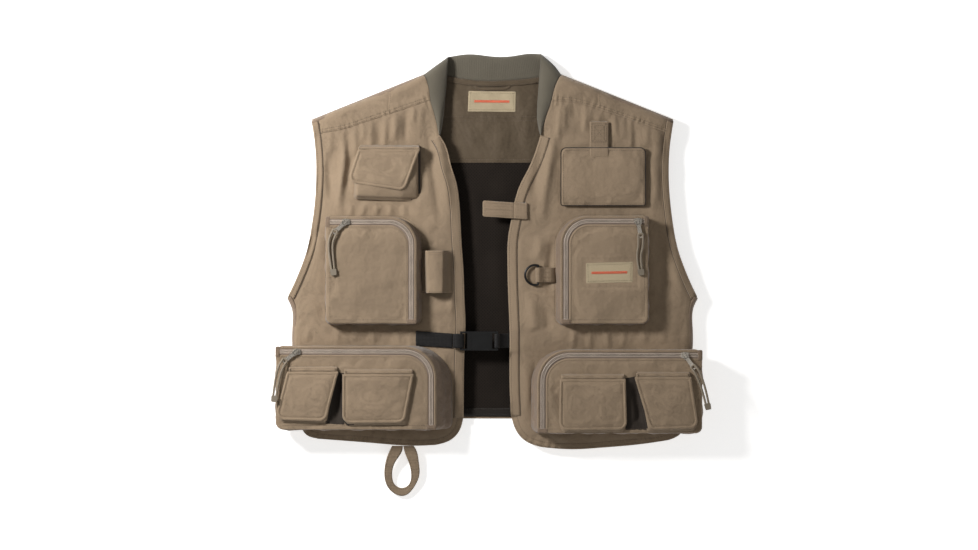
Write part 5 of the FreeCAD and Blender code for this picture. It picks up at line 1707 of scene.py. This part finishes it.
# the right side walls, inside the circle, are painted shade
chest_ground = pouch(piece, body_loop, 21.0, 37.4, GROUND[-1], 0.6, [(-100, 108, 40)], slope=chest_slope,
                     edge=4.0,
                     mouth=(-184, -112, 136))
stitches(piece, [(-194, 76.2), (-106, 73.2)], chest_ground, 1)
loop = rounded([(-189.5, 142.0), (-102.8, 141.9), (-105.2, 148.0), (-186.6, 148.6)], 1, side=30, arc=2)
g = sheet(piece, loop, 2.4, lambda a, b: 39.3 + 0.3 * np.sin(a / 3.3) * np.exp(-((b - 145.4) / 2) ** 2)
          - 15.5 * np.clip((b - 144.8) / 3.6, 0, 1) ** 1.6, 2.4, [inward(loop, 1.2)])
for y in (143.2, 146.4):
    stitches(piece, [(-188, y), (-104, y)], g, 1, 3.0)
for x in (-188, -104.4):
    bartack(piece, (x, 142.6), (x, 147.2), g, 1)
thing = piece.build("vest", "poplin", "chest_flap_pocket")
flap("chest_flap", [(-190, 141.7), (-103, 141.7), (-124.5, 84), (-205, 96)], 39.2, 1.2,
     [([(-190, 108), (-150, 98), (-132, 92)], 9, 0.9)], 77, (-158, 120, 26, 13, 2.6))

# ---------------------------------------------------------------- fold-down panel

panel_loop = rounded([(97, 63), (217, 63), (217, 145), (97, 145)], [3, 3, 8, 8], side=30, arc=6)
panel_loop = panel_loop if area(panel_loop) > 0 else panel_loop[::-1]
xy, tris, ring = fill(panel_loop, 4.2, [inward(panel_loop, o) for o in (0.8, 2.0, 4.0)])
d = near(panel_loop, xy[:, 0], xy[:, 1], True)[0]
crowned = 0.9 * (1 - np.exp(-d / 7.0))
top = np.c_[xy, 27.6 + crowned - 1.2 * np.exp(-(d / 1.1) ** 2)]
below = np.c_[xy, 24.6 - 0.9 * (1 - np.exp(-d / 6.0))]
edge = panel_loop - normals(panel_loop, True) * 0.5
n, r = len(xy), len(panel_loop)
verts = np.vstack([top, below, np.c_[edge, np.full(r, 26.0)]])
faces = tris + [tuple(i + n for i in t[::-1]) for t in tris] + strips(ring, list(range(2 * n, 2 * n + r))) \
    + strips(list(range(2 * n, 2 * n + r)), [n + i for i in ring])
pin = np.r_[np.clip((4 - d) / 4, 0, 1), np.ones(n), np.ones(r)]
verts = simulate(verts, faces, pin, frames=14, pressure=5.0, grow=0.012, cap=0.9)
piece = Piece("fold_down_panel_pad", poplin, thread, painted_edge_shade, tan_web)
piece.add(verts, faces, 0)
g = Ground(verts, faces)
ring_line = inward(panel_loop, 3.6)
stitches(piece, np.vstack([ring_line, ring_line[:1]]), g, 1)
# the dark cord round the panel's edge is painted shade
sweep(piece, panel_loop, bead(0.6, -0.1, 26.9), None, 2, closed=True)
tab_loop = rounded([(138.5, 132), (164, 132), (164, 182), (138.5, 182)], 1.8, side=20, arc=4)


def tab_height(x, y):
    over = np.clip((y - 141) / 6, 0, 1)
    over = 3 * over ** 2 - 2 * over ** 3
    return 29.6 - 3.4 * over - 0.3 * np.exp(-((near(tab_loop, x, y, True)[0] - 2.4) / 0.9) ** 2)


g = sheet(piece, tab_loop, 2.6, tab_height, 1.9, [inward(tab_loop, 2.4)], slot=3)
for inset, shift in ((2.4, 0), (5.6, 0)):
    x0, x1, y0, y1 = 138.5 + inset, 164 - inset, 152 + inset * 0.5, 182 - inset
    box_line = np.array([(x0, y0), (x1, y0), (x1, y1), (x0, y1), (x0, y0)], float)
    for a, b in zip(box_line, box_line[1:]):
        stitches(piece, [a, b], g, 1, 2.9, 2.1)
for a, b in (((141, 153.5), (161.5, 179.5)), ((141, 179.5), (161.5, 153.5))):
    stitches(piece, [a, b], g, 1, 2.9, 2.1)
thing = piece.build("fold_down_panel", "poplin", "fold_down_panel")

# the backing under the fold-down panel is in the darker poplin: painted shade
piece = Piece("panel_backing_cloth", poplin_shade, thread, black_web)
loop = rounded([(100, 66), (214, 66), (214, 140), (100, 140)], 6, side=20, arc=6)
# the front's cloth is stitched flat under the backing
g = sheet(piece, loop, 5.0, lambda x, y: 23.0 + 0.0 * x, 2.6)
loop = rounded([(140, 152), (163, 152), (163, 180), (140, 180)], 1.5, side=12, arc=4)
g = sheet(piece, loop, 3.0, lambda x, y: 23.4 + 0.0 * x, 2.6, slot=2)
piece.build("vest", "poplin", "patch_base")

# ---------------------------------------------------------------- closure tab, rod keeper, D-ring tab


def strap(piece, corners, height, thick, slot, rows=(), thread_slot=1, radii=1.2):
    """Flat strap with rows of stitches. Returns its top as a Ground."""
    loop = rounded(corners, radii, side=16, arc=4)
    g = sheet(piece, loop, 2.4, height, thick, [inward(loop, 2.0)], slot=slot)
    for a, b in rows:
        stitches(piece, [a, b], g, thread_slot, 3.0, 2.2, 0.27)
    return g


piece = Piece("closure_tab_web", tan_web, thread)
ribs = lambda x, y: 0.22 * np.sin((y - 57.5 + (x + 13.5) * 0.055) * 1.15)
strap(piece, [(-13.5, 48), (29.9, 45.2), (29.9, 66.8), (-13.5, 69.8)],
      lambda x, y: 25.1 + ribs(x, y) + 1.2 * np.exp(-((x - 8) / 16) ** 2), 1.9, 0,
      [((-10.5, 50.2), (29, 47.6)), ((-10.5, 67.2), (29, 64.4)), ((-10.5, 58.6), (29, 56.0)),
       ((-10.8, 51), (-10.8, 66.5))],
      radii=[2.5, 0.8, 0.8, 2.5])
piece.build("closure_tab", "tan_webbing", "closure_tab")
piece = Piece("closure_tab_sewn_end", tan_web, thread)
g = strap(piece, [(30.3, 45), (49, 44), (49, 66), (30.3, 67)], lambda x, y: 25.0 + ribs(x, y), 3.0, 0,
          [((32, 47.4), (47, 46.4)), ((32, 64.6), (47, 63.6))])
for x in (33, 46):
    bartack(piece, (x, 46.5), (x, 64.5), g, 1)
piece.build("vest", "tan_webbing", "closure_tab_base")

# the rod keeper is a short tunnel of cloth
piece = Piece("rod_keeper_cloth", poplin, thread, painted_deep_shade)
cross = [(-100.7, 23.2), (-98.6, 23.6), (-96.6, 28.0), (-94.6, 35.0), (-93.6, 38.4), (-91.0, 39.4),
         (-81.5, 39.9), (-72.0, 39.3),
         (-69.4, 38.2), (-66.5, 32.5), (-63.0, 26.0), (-61.0, 23.5), (-56.6, 23.1)]
KEEPER_X = -80.5
rows_y = np.linspace(-1.0, -61.0, 25)
n_c = len(cross)
outer_pts = []
for j, y in enumerate(rows_y):
    f = j / (len(rows_y) - 1)
    narrow = 1 - 0.10 * f
    for x, z in cross:
        sag = -0.9 * math.sin(math.pi * f) if z > 36 else 0
        cx = KEEPER_X + (x - KEEPER_X) * (narrow if z > 24 else 1)
        outer_pts.append((cx, y + (0.5 * math.sin(x) if 0 < f < 1 else 0),
                          z + sag + 0.25 * math.sin(y / 4.0 + x / 5.0) * (z > 24)))
outer_pts = np.array(outer_pts)
grid = outer_pts.reshape(len(rows_y), n_c, 3)
t_dir = np.gradient(grid, axis=1)
nrm = np.stack([t_dir[..., 2], np.zeros(t_dir.shape[:2]), -t_dir[..., 0]], -1)
nrm /= np.linalg.norm(nrm, axis=-1)[..., None]
inner_grid = grid + nrm * 1.4 * np.where(nrm[..., 2:] > 0, -1, 1)
inner_grid[..., 2] = np.maximum(inner_grid[..., 2], 21.7)
ny = len(rows_y)
faces = grid_faces(ny, n_c, True)
m = ny * n_c
lining_faces = moved_on(turned(faces), m)
rim_faces = walls(grid_rim(ny, n_c), m, shift=2)
verts = np.vstack([grid.reshape(-1, 3), inner_grid.reshape(-1, 3)])
piece.add(verts, faces + rim_faces, 0)
# the tunnel's inside is painted shade, in near-black cloth
piece.add(verts, lining_faces, 2)
g = Ground(verts, faces)
for y in (-3.6, -7.0, -58.4):
    stitches(piece, [(-91, y), (-71.5, y)], g, 1, 3.0)
for x in (-99.4, -58.6):
    stitches(piece, [(x, -3), (x, -59)], g, 1, 3.0)
piece.build("vest", "poplin", "rod_keeper")

# D-ring tab: a strap folded round the ring's bar
piece = Piece("d_ring_tab_web", tan_web, thread)
RY = -35.5
loop_xz = [(89.6, 23.2), (78, 23.4), (72, 24.2), (68.6, 27.2), (66.2, 28.7), (63.8, 28.8), (61.6, 27.6),
           (60.7, 25.3),
           (61.6, 23.0), (64.6, 21.9), (72, 21.7), (89.6, 21.7)]
inner_xz = [(89.6, 22.5), (78, 22.6), (71.2, 23.2), (67.6, 26.0), (66.0, 27.2), (64.2, 27.3), (62.9, 26.6),
            (62.4, 25.3),
            (62.9, 24.0), (64.8, 23.3), (72, 22.4), (89.6, 22.4)]
ys = np.linspace(RY + 10.5, RY - 10.5, 15)
a_pts = [(x, y, z + 0.16 * math.sin(y * 1.9)) for y in ys for x, z in loop_xz]
b_pts = [(x, y, z) for y in ys for x, z in inner_xz]
n_c, ny = len(loop_xz), len(ys)
m = n_c * ny
faces = turned(grid_faces(ny, n_c))
piece.add(np.vstack([a_pts, b_pts]), faces + moved_on(turned(faces), m) + walls(grid_rim(ny, n_c), m), 0)
g = Ground(a_pts, faces)
for y in (RY - 8.6, RY - 3, RY + 3, RY + 8.6):
    stitches(piece, [(69.5, y), (89, y)], g, 1, 3.0, 2.2, 0.26)
bartack(piece, (71.5, RY - 9.5), (71.5, RY + 9.5), g, 1)
piece.build("vest", "tan_webbing", "d_ring_tab")

# ---------------------------------------------------------------- waist webbing

STRAP_Y = -129.0


def webbing(piece, path, y_mid, width, thick=1.4, slot=0, lean=0.0):
    """Woven strap that follows a path drawn in X and Z."""
    p = even(curve([(x, z) for x, z in path], 1.0) if len(path) > 2 else np.array(path, float), 1.6)
    t = np.gradient(p, axis=0)
    t /= np.linalg.norm(t, axis=1)[:, None]
    nrm = np.c_[-t[:, 1], t[:, 0]]
    rows = 13
    across = np.linspace(-0.5, 0.5, rows)
    verts = []
    for side in (1, -1):
        for v in across:
            swell = thick / 2 * (1 - (2 * abs(v)) ** 6 * 0.6) + 0.10 * math.cos(v * 12 * math.pi)
            q = p + nrm * side * swell
            verts += [(x, y_mid + v * width + lean * (x - p[0, 0]), z) for x, z in q]
    n = len(p)
    m = rows * n
    faces = grid_faces(rows, n)
    faces += moved_on(turned(faces), m) + walls(grid_rim(rows, n), m, True, 2)
    piece.add(verts, faces, slot)
    return Ground(verts, faces)


piece = Piece("waist_webbing", black_web, thread)
webbing(piece, [(-109, 22.1), (-90, 22.1), (-70, 22.1), (-57, 22.15)], STRAP_Y + 3.6, 20.8, lean=-0.07)
webbing(piece, [(2.9, 29.3), (8.6, 29.2), (9.0, 27.6), (9.6, 25.4), (14, 23.2), (22, 19.6), (32, 19.05),
                (80, 19.05)],
        STRAP_Y, 20.6)
webbing(piece, [(2.9, 24.6), (8.0, 24.4), (14, 21.8), (22, 18.3)], STRAP_Y, 20.2, thick=1.2)
piece.build("vest", "webbing", "waist_straps")
piece = Piece("plug_strap_fold", black_web, thread)
fold_path = [(-55.6, 24.55), (-43.0, 24.5), (-41.7, 25.2), (-41.6, 28.8), (-43.0, 29.7), (-55.6, 29.6)]
webbing(piece, fold_path, STRAP_Y, 20.2)
webbing(piece, [(-55.8, 24.5), (-55.9, 27.0), (-55.8, 29.8)], STRAP_Y, 20.2, thick=1.3)
piece.build("buckle_plug", "webbing", "strap_fold")

# ---------------------------------------------------------------- hem loop

piece = Piece("hem_loop_web", tan_web, thread, painted_deep_shade)
HEM_LOOP_Y, LOOP_REACH = -279.5, 72
slope = math.radians(9)
drop = LOOP_REACH * math.sin(slope)
outer_line = [(-112, 1), (-109, -4), (-105, -22), (-104, -40), (-111, -58), (-127, -72), (-141, -68),
              (-151, -56), (-154, -34), (-149, -12), (-143, 1)]
inner_line = [(-127, 1), (-125, -8), (-119, -24), (-116, -44), (-119, -55), (-128, -60.5), (-139, -56),
              (-143, -44), (-138, -22), (-128, -4), (-127.5, 1)]
o_l, i_l = curve(outer_line, 1.2), curve(inner_line, 1.2)
count = 110
ss = np.linspace(0, 1, count)


def along_line(line):
    t = np.r_[0, np.cumsum(np.linalg.norm(np.diff(line, axis=0), axis=1))]
    return np.c_[np.interp(ss * t[-1], t, line[:, 0]), np.interp(ss * t[-1], t, line[:, 1])]


o_l, i_l = along_line(o_l), along_line(i_l)
verts, rows = [], 9
for side in (1, -1):
    for j in range(rows):
        v = j / (rows - 1)
        p = o_l + (i_l - o_l) * v
        # the webbing stands on edge at the far end, where it turns over
        twist = np.exp(-((ss - 0.5) / 0.2) ** 2)
        part = side * (0.9 + 0.12 * math.cos(v * 14))
        lift = 3.4 + part + twist * (2.2 * (0.5 - v)) + 1.2 * np.sin(math.pi * ss * 2) * 0.4
        z = lift * math.cos(slope) + p[:, 1] * math.sin(slope) + drop + 0.8
        y = HEM_LOOP_Y + p[:, 1] * math.cos(slope)
        z = np.minimum(z, np.where(p[:, 1] > -8, 15.4, np.inf))
        verts += list(zip(p[:, 0], y, z))
n = count
m = rows * n
faces = grid_faces(rows, n, True)
faces = turned(faces) + moved_on(faces, m) + walls(grid_rim(rows, n), m, True)
piece.add(verts, faces, 0)
g = Ground(verts, faces)
for f in (0.12, 0.88):
    stitches(piece, (o_l + (i_l - o_l) * f) * (1, math.cos(slope)) + (0, HEM_LOOP_Y), g, 1, 3.2, 2.3, 0.25)
piece.build("hem_loop", "tan_webbing", "hem_loop")

# ---------------------------------------------------------------- hard parts keep their CAD shape

FINISH = {
    "buckle_female": acetal, "buckle_male": acetal, "upper_prong": acetal, "lower_prong": acetal,
    "d_ring": acetal,
}
for name in CORDS:
    FINISH[name + "_slider"] = nickel
    FINISH[name + "_pull_tab"] = nickel
    FINISH[name + "_pull_grip"] = grip_rubber
for name, material in FINISH.items():
    thing = NODES[name]
    for slot in range(max(1, len(thing.material_slots))):
        if thing.material_slots:
            thing.material_slots[slot].material = material
        else:
            thing.data.materials.append(material)
